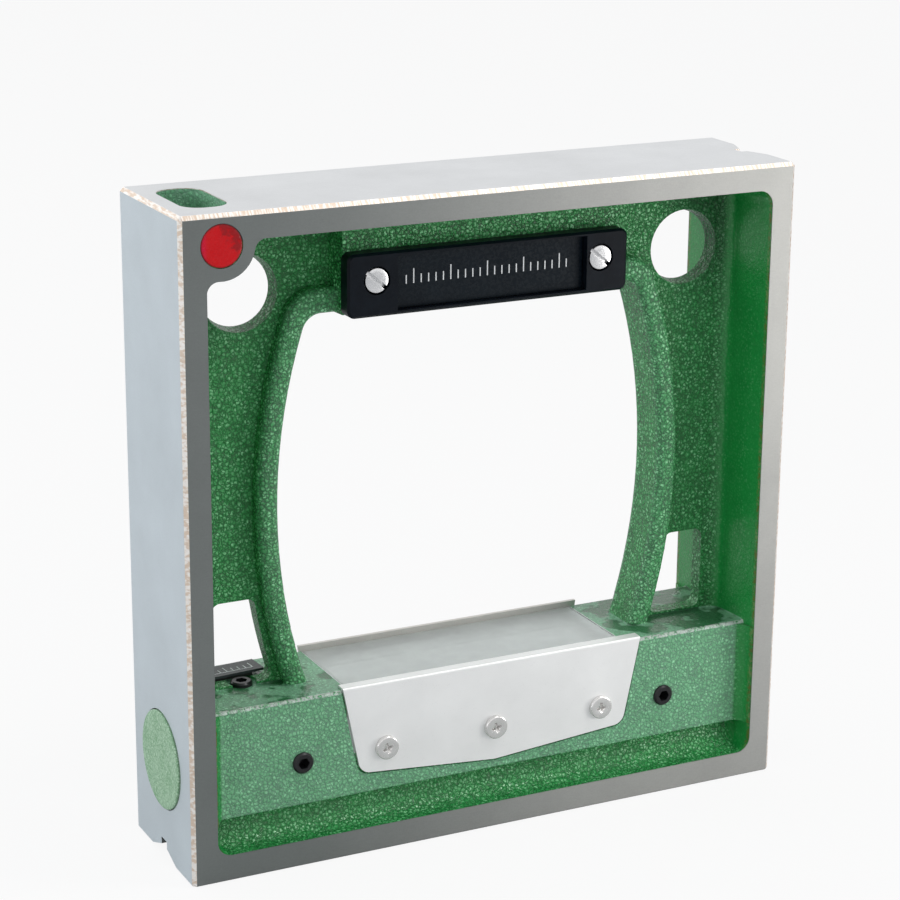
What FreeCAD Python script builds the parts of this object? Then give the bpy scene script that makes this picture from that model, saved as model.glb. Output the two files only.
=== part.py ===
import FreeCAD, Part
import math
import os

# Precision machinist's frame level, 200 mm square.
# Millimetres. +X runs along the base to the right, +Y away from the viewer, +Z up.
# Every shape is built about the middle of the ground body, then moved by ORIGIN_SHIFT_X on
# export, so that the row's origin is the bottom centre of the whole bounding box.

Vector = FreeCAD.Vector
AXIS_X = Vector(1, 0, 0)
AXIS_Y = Vector(0, 1, 0)
AXIS_Z = Vector(0, 0, 1)

# ---------------------------------------------------------------- general allowances
CUT_MARGIN = 5.0
PAST_FACE = 1.0
FIT_GAP = 0.05
LOOSE_GAP = 0.30

# ---------------------------------------------------------------- ground body
BODY_HALF_LENGTH = 100.0
BODY_HALF_DEPTH = 24.0
BODY_HEIGHT = 200.0
EDGE_CHAMFER = 1.2
BASE_CHAMFER = 0.4

# Vee grooves: 140 degrees between the walls, with a relief slot along the middle.
VEE_WALL_ANGLE = math.radians(20.0)
RELIEF_HALF_WIDTH = 2.25
BASE_VEE_HALF_WIDTH = 11.0
BASE_RELIEF_DEPTH = 5.5
SIDE_VEE_HALF_WIDTH = 13.0
SIDE_RELIEF_DEPTH = 6.0

# ---------------------------------------------------------------- recesses on both faces
RIM_WIDTH = 8.0
RECESS_CORNER_RADIUS = 4.75
RECESS_DRAFT = 1.8
WEB_HALF_THICKNESS = 2.5
WEB_FILLET = 4.6

# ---------------------------------------------------------------- barrel-shaped window and its bead
WINDOW_FROM_SIDE = 35.5
WINDOW_SIDE_RADIUS = 175.0
WINDOW_FROM_TOP = 35.8
WINDOW_MID_DROP = 1.6
WINDOW_CORNER_RADIUS = 6.0
BEAD_WIDTH = 6.6
BEAD_TOP_WIDTH = 7.6
BEAD_CORNER_RADIUS = 11.0
BEAD_HALF_DEPTH = 8.0
BEAD_EDGE_RADIUS = 2.4
BEAD_BURIED_Z = 44.0

# Pad that carries the two grips, on both sides of the web under the top rim.
PAD_HALF_LENGTH = 45.5
PAD_ROOT_SPREAD = 0.8
PAD_HALF_DEPTH = 11.0
PAD_FROM_TOP = 5.0

# ---------------------------------------------------------------- vial block, cast with the frame
BLOCK_HALF_DEPTH = 18.0
BLOCK_BOTTOM_Z = 16.5
BLOCK_TOP_Z = 51.0
BLOCK_FROM_SIDE = 6.0
BLOCK_EDGE_RADIUS = 0.8
BLOCK_CORNER_FILLET = 5.5

# Concave trough along the foot of both faces, from the bottom rim up to the block.
TROUGH_RADIUS = 8.0
TROUGH_FRONT_INSET = 1.0

# Windows through the web just above the block, one each side.
SIDE_WINDOW_HEIGHT = 26.4
SIDE_WINDOW_SILL = 1.2
SIDE_WINDOW_FROM_SIDE = 15.7
SIDE_WINDOW_RIB_GAP = 1.8
SIDE_WINDOW_RADIUS = 2.6

# Round holes through the web in the two top corners.
HOLE_FROM_SIDE = 26.1
HOLE_FROM_TOP = 28.2
HOLE_FRONT_RADIUS = 11.7
HOLE_BACK_RADIUS = 10.9

# Solid corner at the top left, with the slot that opens in the top face.
BOSS_FROM_SIDE = 12.6
BOSS_FROM_TOP = 9.1
BOSS_RADIUS = 10.0
BOSS_BLEND_RADIUS = 3.5
SLOT_FROM_SIDE = 6.0
SLOT_WIDTH = 14.0
SLOT_HALF_LENGTH = 14.4
SLOT_CORNER_RADIUS = 6.0
SLOT_DEPTH = 12.0

# Painted datum spot sunk in the front face.
SPOT_RADIUS = 6.3
SPOT_POCKET_DEPTH = 0.6
SPOT_THICKNESS = 0.4

# ---------------------------------------------------------------- bore, plug and vial chamber
BORE_RADIUS = 13.0
BORE_Z = 31.5
BORE_END_FROM_SIDE = 26.0
PLUG_RADIUS = 15.1
PLUG_SEAT_DEPTH = 4.0
PLUG_PROUD = 0.7
PLUG_EDGE_RADIUS = 0.4
CHAMBER_HALF_WIDTH = 12.9
GLASS_HALF_LENGTH = 47.0
GLASS_SEAT_WIDTH = 3.0
GLASS_THICKNESS = 3.0
GLASS_EDGE_CHAMFER = 0.4
GASKET_THICKNESS = 0.8
GASKET_INNER_STEP = 1.0

# ---------------------------------------------------------------- cover plates, front and rear
COVER_MID_X = 2.0
COVER_TOP_HALF_LENGTH = 51.2
COVER_SHOULDER_HALF_LENGTH = 45.4
COVER_SHOULDER_Z = 23.6
COVER_TIP_Z = 19.8
COVER_CORNER_RADIUS = 4.0
COVER_THICKNESS = 1.2
COVER_PANEL_DEPTH = 0.8
COVER_PANEL_MARGIN = 0.6
COVER_LIP_REACH = 3.6
COVER_LIP_THICKNESS = 0.8
COVER_BEND_RADIUS = 0.7
REAR_COVER_TOP_Z = 52.8
REAR_COVER_MID_X = 0.6
REAR_COVER_HALF_LENGTH = 48.9
COVER_SCREW_PITCH = 37.0
COVER_SCREW_Z = 30.7
COVER_SCREW_HEAD_RADIUS = 3.7
COVER_SCREW_HEAD_HEIGHT = 1.5
COVER_SCREW_SHANK_RADIUS = 1.95
COVER_SCREW_LENGTH = 4.6
CROSS_ARM_LENGTH = 3.8
CROSS_ARM_WIDTH = 0.9
CROSS_DEPTH = 1.0

# ---------------------------------------------------------------- grips on the top bar
GRIP_HALF_LENGTH = 46.0
GRIP_FRONT_Y = 16.0
GRIP_FROM_TOP = 17.2
GRIP_HEIGHT = 18.9
GRIP_CORNER_RADIUS = 2.4
GRIP_EDGE_CHAMFER = 0.7
GRIP_LABEL_LEFT_X = -30.2
GRIP_LABEL_RIGHT_X = 32.1
GRIP_LABEL_DEPTH = 3.0
GRIP_LABEL_BORDER = 1.2
NAME_PLATE_THICKNESS = 0.5
NAME_PLATE_MARGIN = 0.3
GRIP_SCREW_X = 36.8
GRIP_SCREW_DROP = 8.2
GRIP_SCREW_HEAD_RADIUS = 3.6
GRIP_SCREW_HEAD_HEIGHT = 2.4
GRIP_SCREW_SINK_RADIUS = 4.2
GRIP_SCREW_SINK_DEPTH = 2.6
GRIP_SCREW_SHANK_RADIUS = 2.0
GRIP_SCREW_LENGTH = 8.0
GRIP_SCREW_SLOT_WIDTH = 1.1
GRIP_SCREW_SLOT_DEPTH = 1.2
GRIP_SCREW_SLOT_ANGLE = 40.0

# ---------------------------------------------------------------- set screws on the block
SET_SCREW_RADIUS = 3.3
SET_SCREW_FROM_SIDE = 37.8
SET_SCREW_Z = 30.4
SET_SCREW_PROUD = 1.0
SET_SCREW_CUP = 0.5
HEX_ACROSS_FLATS = 3.2
HEX_DEPTH = 4.0
PIVOT_POINT_RADIUS = 1.5
PIVOT_POINT_LENGTH = 3.2
ADJUSTER_FROM_SIDE = 25.7
ADJUSTER_PROUD = 1.4
ADJUSTER_SPOT_FACE_RADIUS = 4.6
ADJUSTER_TIP_GAP = 0.6

# ---------------------------------------------------------------- vial carrier, tray and vial
CARRIER_LEFT_FROM_SIDE = 16.0
CARRIER_RIGHT_FROM_SIDE = 30.0
CARRIER_HALF_WIDTH = 9.0
CARRIER_BOTTOM_Z = 24.0
CARRIER_TOP_Z = 34.0
CARRIER_EDGE_CHAMFER = 0.8
TRAY_END_GAP = 1.6
TRAY_HALF_WIDTH = 11.4
TRAY_TOP_Z = 46.8
TRAY_WALL = 1.4
TRAY_FLOOR_Z = 40.0
VIAL_Y = -3.5
VIAL_Z = 41.2
VIAL_RADIUS = 5.5
VIAL_INNER_RADIUS = 4.2
VIAL_END_GAP = 4.4
VIAL_PLUG_THICKNESS = 3.0
SPIRIT_LEVEL = 2.6
SPIRIT_END_GAP = 0.1
BUBBLE_HALF_LENGTH = 8.0
BUBBLE_CLEARANCE = 0.08

# Leaf spring under the free end of the carrier.
SPRING_FOOT_HALF_SPAN = 9.0
SPRING_CREST_HALF_SPAN = 3.0
SPRING_THICKNESS = 0.5
SPRING_HALF_WIDTH = 1.5
SPRING_FOOT_Z = 18.7
SPRING_CREST_Z = 22.9

# ---------------------------------------------------------------- small plate on the block top
LABEL_LENGTH = 22.4
LABEL_WIDTH = 8.0
LABEL_THICKNESS = 0.8
LABEL_FROM_SIDE = 23.5
LABEL_Y = 7.9
LABEL_TURN = 4.5
LABEL_PAD_LENGTH = 16.0
LABEL_PAD_WIDTH = 5.0
LABEL_PAD_HEIGHT = 1.4

# ---------------------------------------------------------------- derived sizes
ORIGIN_SHIFT_X = PLUG_PROUD / 2
WINDOW_HALF_WIDTH = BODY_HALF_LENGTH - WINDOW_FROM_SIDE
WINDOW_TOP_Z = BODY_HEIGHT - WINDOW_FROM_TOP
WINDOW_MID_Z = (BLOCK_TOP_Z + WINDOW_TOP_Z) / 2 - WINDOW_MID_DROP
PAD_TOP_Z = BODY_HEIGHT - PAD_FROM_TOP
BLOCK_HALF_LENGTH = BODY_HALF_LENGTH - BLOCK_FROM_SIDE
SIDE_WINDOW_BOTTOM_Z = BLOCK_TOP_Z + SIDE_WINDOW_SILL
SIDE_WINDOW_TOP_Z = SIDE_WINDOW_BOTTOM_Z + SIDE_WINDOW_HEIGHT
SIDE_WINDOW_OUTER_X = BODY_HALF_LENGTH - SIDE_WINDOW_FROM_SIDE
HOLE_X = BODY_HALF_LENGTH - HOLE_FROM_SIDE
HOLE_Z = BODY_HEIGHT - HOLE_FROM_TOP
BOSS_X = -BODY_HALF_LENGTH + BOSS_FROM_SIDE
BOSS_Z = BODY_HEIGHT - BOSS_FROM_TOP
SLOT_LEFT_X = -BODY_HALF_LENGTH + SLOT_FROM_SIDE
SLOT_RIGHT_X = SLOT_LEFT_X + SLOT_WIDTH
BORE_RIGHT_X = BODY_HALF_LENGTH - BORE_END_FROM_SIDE
CHAMBER_HALF_LENGTH = GLASS_HALF_LENGTH - GLASS_SEAT_WIDTH
GRIP_TOP_Z = BODY_HEIGHT - GRIP_FROM_TOP
GRIP_BOTTOM_Z = GRIP_TOP_Z - GRIP_HEIGHT
GRIP_SCREW_Z = GRIP_TOP_Z - GRIP_SCREW_DROP
SET_SCREW_X = BODY_HALF_LENGTH - SET_SCREW_FROM_SIDE
ADJUSTER_X = -BODY_HALF_LENGTH + ADJUSTER_FROM_SIDE
CARRIER_LEFT_X = -BODY_HALF_LENGTH + CARRIER_LEFT_FROM_SIDE
CARRIER_RIGHT_X = BODY_HALF_LENGTH - CARRIER_RIGHT_FROM_SIDE
TRAY_HALF_LENGTH = CHAMBER_HALF_LENGTH - TRAY_END_GAP
VIAL_HALF_LENGTH = TRAY_HALF_LENGTH - VIAL_END_GAP
LABEL_X = -BODY_HALF_LENGTH + LABEL_FROM_SIDE
BORE_BOTTOM_Z = BORE_Z - BORE_RADIUS
GLASS_BOTTOM_Z = BLOCK_TOP_Z - GLASS_THICKNESS
GASKET_BOTTOM_Z = GLASS_BOTTOM_Z - GASKET_THICKNESS
SEAT_HALF_LENGTH = GLASS_HALF_LENGTH + LOOSE_GAP
PANEL_Y = BLOCK_HALF_DEPTH - COVER_PANEL_DEPTH
COVER_FACE_Y = PANEL_Y + COVER_THICKNESS
GLASS_HALF_WIDTH = PANEL_Y
GRIP_THICKNESS = GRIP_FRONT_Y - PAD_HALF_DEPTH
SET_SCREW_FRONT_Y = -BLOCK_HALF_DEPTH - SET_SCREW_PROUD
ADJUSTER_TOP_Z = BLOCK_TOP_Z + ADJUSTER_PROUD
ADJUSTER_TIP_Z = CARRIER_TOP_Z + ADJUSTER_TIP_GAP
LABEL_BOTTOM_Z = BLOCK_TOP_Z + LABEL_PAD_HEIGHT
VIAL_PLUG_INNER_X = VIAL_HALF_LENGTH - VIAL_PLUG_THICKNESS


# ---------------------------------------------------------------- small builders
def box_between(low, high):
    """Return the box with the two opposite corners low and high."""
    size = [high[i] - low[i] for i in range(3)]
    return Part.makeBox(size[0], size[1], size[2], Vector(*low))


def cylinder(radius, start, length, axis):
    """Return a cylinder that starts at start and runs length along axis."""
    return Part.makeCylinder(radius, length, Vector(*start), axis)


def prism_along_y(points, start_y, end_y):
    """Return the polygon of (x, z) points, extruded from start_y to end_y."""
    corners = [Vector(x, start_y, z) for x, z in points]
    outline = Part.makePolygon(corners + corners[:1])
    return Part.Face(outline).extrude(Vector(0, end_y - start_y, 0))


def prism_along_x(points, start_x, end_x):
    """Return the polygon of (y, z) points, extruded from start_x to end_x."""
    corners = [Vector(start_x, y, z) for y, z in points]
    outline = Part.makePolygon(corners + corners[:1])
    return Part.Face(outline).extrude(Vector(end_x - start_x, 0, 0))


def prism_along_z(points, start_z, end_z):
    """Return the polygon of (x, y) points, extruded from start_z to end_z."""
    corners = [Vector(x, y, start_z) for x, y in points]
    outline = Part.makePolygon(corners + corners[:1])
    return Part.Face(outline).extrude(Vector(0, 0, end_z - start_z))


def mirror_across_web(shape):
    """Return the shape mirrored from the front side to the rear side."""
    return shape.mirror(Vector(0, 0, 0), AXIS_Y)


def edges_along(shape, axis, keep):
    """Return the straight edges of shape that run along axis and whose middle passes keep."""
    chosen = []
    for edge in shape.Edges:
        if len(edge.Vertexes) < 2:
            continue
        run = edge.Vertexes[1].Point - edge.Vertexes[0].Point
        if run.Length < CUT_MARGIN / 10:
            continue
        is_straight = abs(edge.Length - run.Length) < FIT_GAP / 10
        is_aligned = abs(run.normalize().dot(axis)) > 0.9999
        if is_straight and is_aligned and keep(edge.CenterOfMass):
            chosen.append(edge)
    return chosen


def edges_in_plane(shape, axis_index, value):
    """Return the edges of shape that lie wholly in the plane axis_index = value."""
    chosen = []
    for edge in shape.Edges:
        limits = edge.BoundBox
        low = [limits.XMin, limits.YMin, limits.ZMin][axis_index]
        high = [limits.XMax, limits.YMax, limits.ZMax][axis_index]
        if abs(low - value) < FIT_GAP / 10 and abs(high - value) < FIT_GAP / 10:
            chosen.append(edge)
    return chosen


def rounded_rectangle(half_x, low_z, high_z, radius, y):
    """Return a rounded rectangle wire in the plane Y = y."""
    block = box_between((-half_x, y, low_z), (half_x, y + PAST_FACE, high_z))
    rounded = block.makeFillet(radius, edges_along(block, AXIS_Y, lambda middle: True))
    for face in rounded.Faces:
        if abs(face.CenterOfMass.y - y) < FIT_GAP / 10 and abs(face.normalAt(0, 0).y) > 0.99:
            return face.OuterWire
    return None


def lens_prism(extra, low_z, high_z, half_depth):
    """Return the barrel shape: two arcs WINDOW_SIDE_RADIUS + extra, cut off at low_z and high_z."""
    radius = WINDOW_SIDE_RADIUS + extra
    offset = WINDOW_SIDE_RADIUS - WINDOW_HALF_WIDTH
    left = cylinder(radius, (offset, -half_depth, WINDOW_MID_Z), 2 * half_depth, AXIS_Y)
    right = cylinder(radius, (-offset, -half_depth, WINDOW_MID_Z), 2 * half_depth, AXIS_Y)
    limit = box_between(
        (-BODY_HALF_LENGTH, -half_depth, low_z),
        (BODY_HALF_LENGTH, half_depth, high_z),
    )
    return left.common(right).common(limit)


# ---------------------------------------------------------------- frame casting
def ground_body():
    """Return the outer block with its chamfered edges."""
    block = box_between(
        (-BODY_HALF_LENGTH, -BODY_HALF_DEPTH, 0),
        (BODY_HALF_LENGTH, BODY_HALF_DEPTH, BODY_HEIGHT),
    )
    upright = edges_along(block, AXIS_Z, lambda middle: True)
    top = edges_in_plane(block, 2, BODY_HEIGHT)
    block = block.makeChamfer(EDGE_CHAMFER, upright + top)
    return block.makeChamfer(BASE_CHAMFER, edges_in_plane(block, 2, 0))


def vee_profile(half_width, relief_depth):
    """Return the (across, depth) outline of a vee groove with its relief slot."""
    wall_depth = (half_width - RELIEF_HALF_WIDTH) * math.tan(VEE_WALL_ANGLE)
    spread = half_width + CUT_MARGIN / math.tan(VEE_WALL_ANGLE)
    return [
        (-spread, -CUT_MARGIN),
        (-RELIEF_HALF_WIDTH, wall_depth),
        (-RELIEF_HALF_WIDTH, relief_depth),
        (RELIEF_HALF_WIDTH, relief_depth),
        (RELIEF_HALF_WIDTH, wall_depth),
        (spread, -CUT_MARGIN),
    ]


def base_vee():
    """Return the cutter for the vee groove along the base."""
    outline = vee_profile(BASE_VEE_HALF_WIDTH, BASE_RELIEF_DEPTH)
    reach = BODY_HALF_LENGTH + CUT_MARGIN
    return prism_along_x(outline, -reach, reach)


def side_vee():
    """Return the cutter for the vee groove up the right-hand side."""
    outline = vee_profile(SIDE_VEE_HALF_WIDTH, SIDE_RELIEF_DEPTH)
    points = [(BODY_HALF_LENGTH - depth, across) for across, depth in outline]
    return prism_along_z(points, -CUT_MARGIN, BODY_HEIGHT + CUT_MARGIN)


def recess_section(depth_from_face):
    """Return the recess outline at depth_from_face below the front face."""
    full_depth = BODY_HALF_DEPTH - WEB_HALF_THICKNESS
    inset = RIM_WIDTH + RECESS_DRAFT * depth_from_face / full_depth
    return rounded_rectangle(
        BODY_HALF_LENGTH - inset,
        inset,
        BODY_HEIGHT - inset,
        RECESS_CORNER_RADIUS,
        depth_from_face - BODY_HALF_DEPTH,
    )


def front_recess():
    """Return the drafted pocket in the front face, down to the web, with its floor fillet."""
    mouth = recess_section(-PAST_FACE)
    floor = recess_section(BODY_HALF_DEPTH - WEB_HALF_THICKNESS)
    pocket = Part.makeLoft([mouth, floor], True, True)
    return pocket.makeFillet(WEB_FILLET, edges_in_plane(pocket, 1, -WEB_HALF_THICKNESS))


def window_bead():
    """Return the rounded bead that runs round the barrel window."""
    outer = lens_prism(BEAD_WIDTH, BEAD_BURIED_Z, WINDOW_TOP_Z + BEAD_TOP_WIDTH, BEAD_HALF_DEPTH)
    corners = edges_along(outer, AXIS_Y, lambda middle: middle.z > WINDOW_TOP_Z)
    outer = outer.makeFillet(BEAD_CORNER_RADIUS, corners)
    rims = edges_in_plane(outer, 1, -BEAD_HALF_DEPTH) + edges_in_plane(outer, 1, BEAD_HALF_DEPTH)
    rims = [edge for edge in rims if edge.CenterOfMass.z > BEAD_BURIED_Z + PAST_FACE]
    outer = outer.makeFillet(BEAD_EDGE_RADIUS, rims)
    return outer


def window_cutter():
    """Return the cutter for the barrel window, with its front and rear edges eased."""
    half_depth = BEAD_HALF_DEPTH
    core = lens_prism(0, BLOCK_TOP_Z - CUT_MARGIN, WINDOW_TOP_Z, half_depth)
    corners = edges_along(core, AXIS_Y, lambda middle: middle.z > WINDOW_MID_Z)
    return core.makeFillet(WINDOW_CORNER_RADIUS, corners)


def bead_ring():
    """Return the bead with the window opened through it and its inner edges rounded."""
    ring = window_bead().cut(window_cutter())
    inner = []
    for edge in edges_in_plane(ring, 1, -BEAD_HALF_DEPTH) + edges_in_plane(ring, 1, BEAD_HALF_DEPTH):
        middle = edge.valueAt((edge.FirstParameter + edge.LastParameter) / 2)
        reach = WINDOW_HALF_WIDTH - (middle.z - WINDOW_MID_Z) ** 2 / (2 * WINDOW_SIDE_RADIUS)
        is_side = abs(abs(middle.x) - reach) < PAST_FACE
        is_top = abs(middle.z - WINDOW_TOP_Z) < PAST_FACE * 2
        if is_side or is_top:
            inner.append(edge)
    return ring.makeFillet(BEAD_EDGE_RADIUS, inner)


def grip_pad():
    """Return the pad behind the grips, wider where it meets the web."""
    root = PAD_HALF_LENGTH + PAD_ROOT_SPREAD
    outline = [
        (-root, WEB_HALF_THICKNESS),
        (-PAD_HALF_LENGTH, PAD_HALF_DEPTH),
        (PAD_HALF_LENGTH, PAD_HALF_DEPTH),
        (root, WEB_HALF_THICKNESS),
        (root, -WEB_HALF_THICKNESS),
        (PAD_HALF_LENGTH, -PAD_HALF_DEPTH),
        (-PAD_HALF_LENGTH, -PAD_HALF_DEPTH),
        (-root, -WEB_HALF_THICKNESS),
    ]
    return prism_along_z(outline, WINDOW_TOP_Z, PAD_TOP_Z)


def vial_block():
    """Return the cross block that holds the vial, with blends into both side walls."""
    block = box_between(
        (-BLOCK_HALF_LENGTH, -BLOCK_HALF_DEPTH, BLOCK_BOTTOM_Z),
        (BLOCK_HALF_LENGTH, BLOCK_HALF_DEPTH, BLOCK_TOP_Z),
    )
    long_edges = edges_along(block, AXIS_X, lambda middle: True)
    block = block.makeFillet(BLOCK_EDGE_RADIUS, long_edges)
    wall_x = BODY_HALF_LENGTH - RIM_WIDTH - RECESS_DRAFT / 4
    pieces = []
    for side in (-1, 1):
        for face in (-1, 1):
            pieces.append(corner_blend(side, face, wall_x))
    return block.multiFuse(pieces)


def corner_blend(side, face, wall_x):
    """Return the concave blend between one end of the block and the side wall."""
    radius = BLOCK_CORNER_FILLET
    near_x = side * (wall_x - radius)
    near_y = face * (BLOCK_HALF_DEPTH + radius)
    low_x, high_x = sorted((near_x, side * (wall_x + PAST_FACE)))
    low_y, high_y = sorted((face * (BLOCK_HALF_DEPTH - PAST_FACE), near_y))
    top_z = BLOCK_TOP_Z - BLOCK_EDGE_RADIUS
    bottom_z = BLOCK_BOTTOM_Z + BLOCK_EDGE_RADIUS
    filler = box_between((low_x, low_y, bottom_z), (high_x, high_y, top_z))
    hollow = cylinder(
        radius,
        (near_x, near_y, bottom_z - PAST_FACE),
        top_z - bottom_z + 2 * PAST_FACE,
        AXIS_Z,
    )
    return filler.cut(hollow)


def foot_trough():
    """Return the metal under the block on the front side, hollowed by the trough along it."""
    half_length = BODY_HALF_LENGTH - RIM_WIDTH + PAST_FACE
    centre_y = TROUGH_FRONT_INSET - BODY_HALF_DEPTH
    centre_z = RIM_WIDTH + TROUGH_RADIUS
    filler = box_between(
        (-half_length, centre_y, RIM_WIDTH - PAST_FACE),
        (half_length, 0, BLOCK_BOTTOM_Z + PAST_FACE),
    )
    hollow = cylinder(
        TROUGH_RADIUS,
        (-half_length - PAST_FACE, centre_y, centre_z),
        2 * (half_length + PAST_FACE),
        AXIS_X,
    )
    above = box_between(
        (-half_length - PAST_FACE, centre_y - PAST_FACE, centre_z),
        (half_length + PAST_FACE, centre_y + TROUGH_RADIUS, BLOCK_BOTTOM_Z + 2 * PAST_FACE),
    )
    return filler.cut(hollow).cut(above)


def corner_boss():
    """Return the solid top-left corner, flush with both faces, blended into the rims."""
    depth = BODY_HALF_DEPTH - PAST_FACE / 10
    length = 2 * depth
    boss = cylinder(BOSS_RADIUS, (BOSS_X, -depth, BOSS_Z), length, AXIS_Y)
    boss = boss.common(box_between(
        (-BODY_HALF_LENGTH, -depth, 0),
        (BODY_HALF_LENGTH, depth, BODY_HEIGHT - PAST_FACE),
    ))
    rim_x = -BODY_HALF_LENGTH + RIM_WIDTH
    rim_z = BODY_HEIGHT - RIM_WIDTH
    reach = BOSS_RADIUS + BOSS_BLEND_RADIUS
    right_x = BOSS_X + math.sqrt(reach ** 2 - (BOSS_Z - rim_z + BOSS_BLEND_RADIUS) ** 2)
    low_z = BOSS_Z - math.sqrt(reach ** 2 - (BOSS_X - rim_x - BOSS_BLEND_RADIUS) ** 2)
    fillers = []
    for centre, corner, beside in (
        (
            (right_x, rim_z - BOSS_BLEND_RADIUS),
            (right_x, rim_z + PAST_FACE),
            (BOSS_X, rim_z + PAST_FACE),
        ),
        (
            (rim_x + BOSS_BLEND_RADIUS, low_z),
            (rim_x - PAST_FACE, low_z),
            (rim_x - PAST_FACE, BOSS_Z),
        ),
    ):
        points = [(BOSS_X, BOSS_Z), beside, corner, centre]
        wedge = prism_along_y(points, -depth, depth)
        hollow = cylinder(
            BOSS_BLEND_RADIUS,
            (centre[0], -depth - PAST_FACE, centre[1]),
            length + 2 * PAST_FACE,
            AXIS_Y,
        )
        fillers.append(wedge.cut(hollow))
    return boss.multiFuse(fillers)


def side_window(side):
    """Return the cutter for the web window on one side, following the rib's curve."""
    low_x, high_x = sorted((side * WINDOW_HALF_WIDTH / 2, side * SIDE_WINDOW_OUTER_X))
    half_depth = WEB_HALF_THICKNESS + PAST_FACE
    opening = box_between(
        (low_x, -half_depth, SIDE_WINDOW_BOTTOM_Z),
        (high_x, half_depth, SIDE_WINDOW_TOP_Z),
    )
    keep = lens_prism(
        BEAD_WIDTH + SIDE_WINDOW_RIB_GAP,
        BLOCK_BOTTOM_Z,
        WINDOW_TOP_Z,
        half_depth + PAST_FACE,
    )
    opening = opening.cut(keep)
    corners = edges_along(opening, AXIS_Y, lambda middle: True)
    return opening.makeFillet(SIDE_WINDOW_RADIUS, corners)


def web_hole(x):
    """Return the cutter for one cast hole through the web, a little tapered."""
    taper = (HOLE_FRONT_RADIUS - HOLE_BACK_RADIUS) / (2 * WEB_HALF_THICKNESS)
    start = Vector(x, -WEB_HALF_THICKNESS - PAST_FACE, HOLE_Z)
    front_radius = HOLE_FRONT_RADIUS + taper * PAST_FACE
    back_radius = HOLE_BACK_RADIUS - taper * PAST_FACE
    return Part.makeCone(front_radius, back_radius, 2 * (WEB_HALF_THICKNESS + PAST_FACE), start, AXIS_Y)


def top_slot():
    """Return the cutter for the rounded slot in the top face."""
    slot = box_between(
        (SLOT_LEFT_X, -SLOT_HALF_LENGTH, BODY_HEIGHT - SLOT_DEPTH),
        (SLOT_RIGHT_X, SLOT_HALF_LENGTH, BODY_HEIGHT + PAST_FACE),
    )
    return slot.makeFillet(SLOT_CORNER_RADIUS, edges_along(slot, AXIS_Z, lambda middle: True))


def cover_outline(mid_x, top_half_length, top_z, margin):
    """Return the (x, z) corners of a cover plate, grown by margin."""
    shoulder = COVER_SHOULDER_HALF_LENGTH + margin
    return [
        (mid_x - top_half_length - margin, top_z),
        (mid_x - shoulder, COVER_SHOULDER_Z - margin),
        (mid_x, COVER_TIP_Z - margin),
        (mid_x + shoulder, COVER_SHOULDER_Z - margin),
        (mid_x + top_half_length + margin, top_z),
    ]


def cover_sheet(mid_x, top_half_length, top_z, margin, thickness):
    """Return a cover-shaped sheet with rounded shoulders, its back on the front panel plane."""
    outline = cover_outline(mid_x, top_half_length, top_z, margin)
    sheet = prism_along_y(outline, -PANEL_Y - thickness, -PANEL_Y)
    shoulders = edges_along(
        sheet,
        AXIS_Y,
        lambda middle: middle.z < BORE_Z and abs(middle.x - mid_x) > PAST_FACE,
    )
    return sheet.makeFillet(COVER_CORNER_RADIUS + margin, shoulders)


def panel_recess(mid_x, top_half_length):
    """Return the cutter for the shallow panel that a cover plate sits in."""
    top_z = BLOCK_TOP_Z + PAST_FACE
    depth = COVER_PANEL_DEPTH + PAST_FACE
    return cover_sheet(mid_x, top_half_length, top_z, COVER_PANEL_MARGIN, depth)


def cover_screw_points(mid_x):
    """Return the x positions of the three screws in a cover plate."""
    return [mid_x + step * COVER_SCREW_PITCH for step in (-1, 0, 1)]


def chamber_cutters():
    """Return the cutters for the bore, the plug seat, the chamber and the glass seat."""
    left = -BODY_HALF_LENGTH - PAST_FACE
    bore = cylinder(BORE_RADIUS, (left, 0, BORE_Z), BORE_RIGHT_X - left, AXIS_X)
    plug_seat = cylinder(
        PLUG_RADIUS + LOOSE_GAP,
        (left, 0, BORE_Z),
        PLUG_SEAT_DEPTH + PAST_FACE,
        AXIS_X,
    )
    chamber = box_between(
        (-CHAMBER_HALF_LENGTH, -CHAMBER_HALF_WIDTH, BORE_Z),
        (CHAMBER_HALF_LENGTH, CHAMBER_HALF_WIDTH, BLOCK_TOP_Z + PAST_FACE),
    )
    seat = box_between(
        (-SEAT_HALF_LENGTH, -BLOCK_HALF_DEPTH - PAST_FACE, GASKET_BOTTOM_Z),
        (SEAT_HALF_LENGTH, BLOCK_HALF_DEPTH + PAST_FACE, BLOCK_TOP_Z + PAST_FACE),
    )
    return [bore, plug_seat, chamber, seat]


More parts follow.
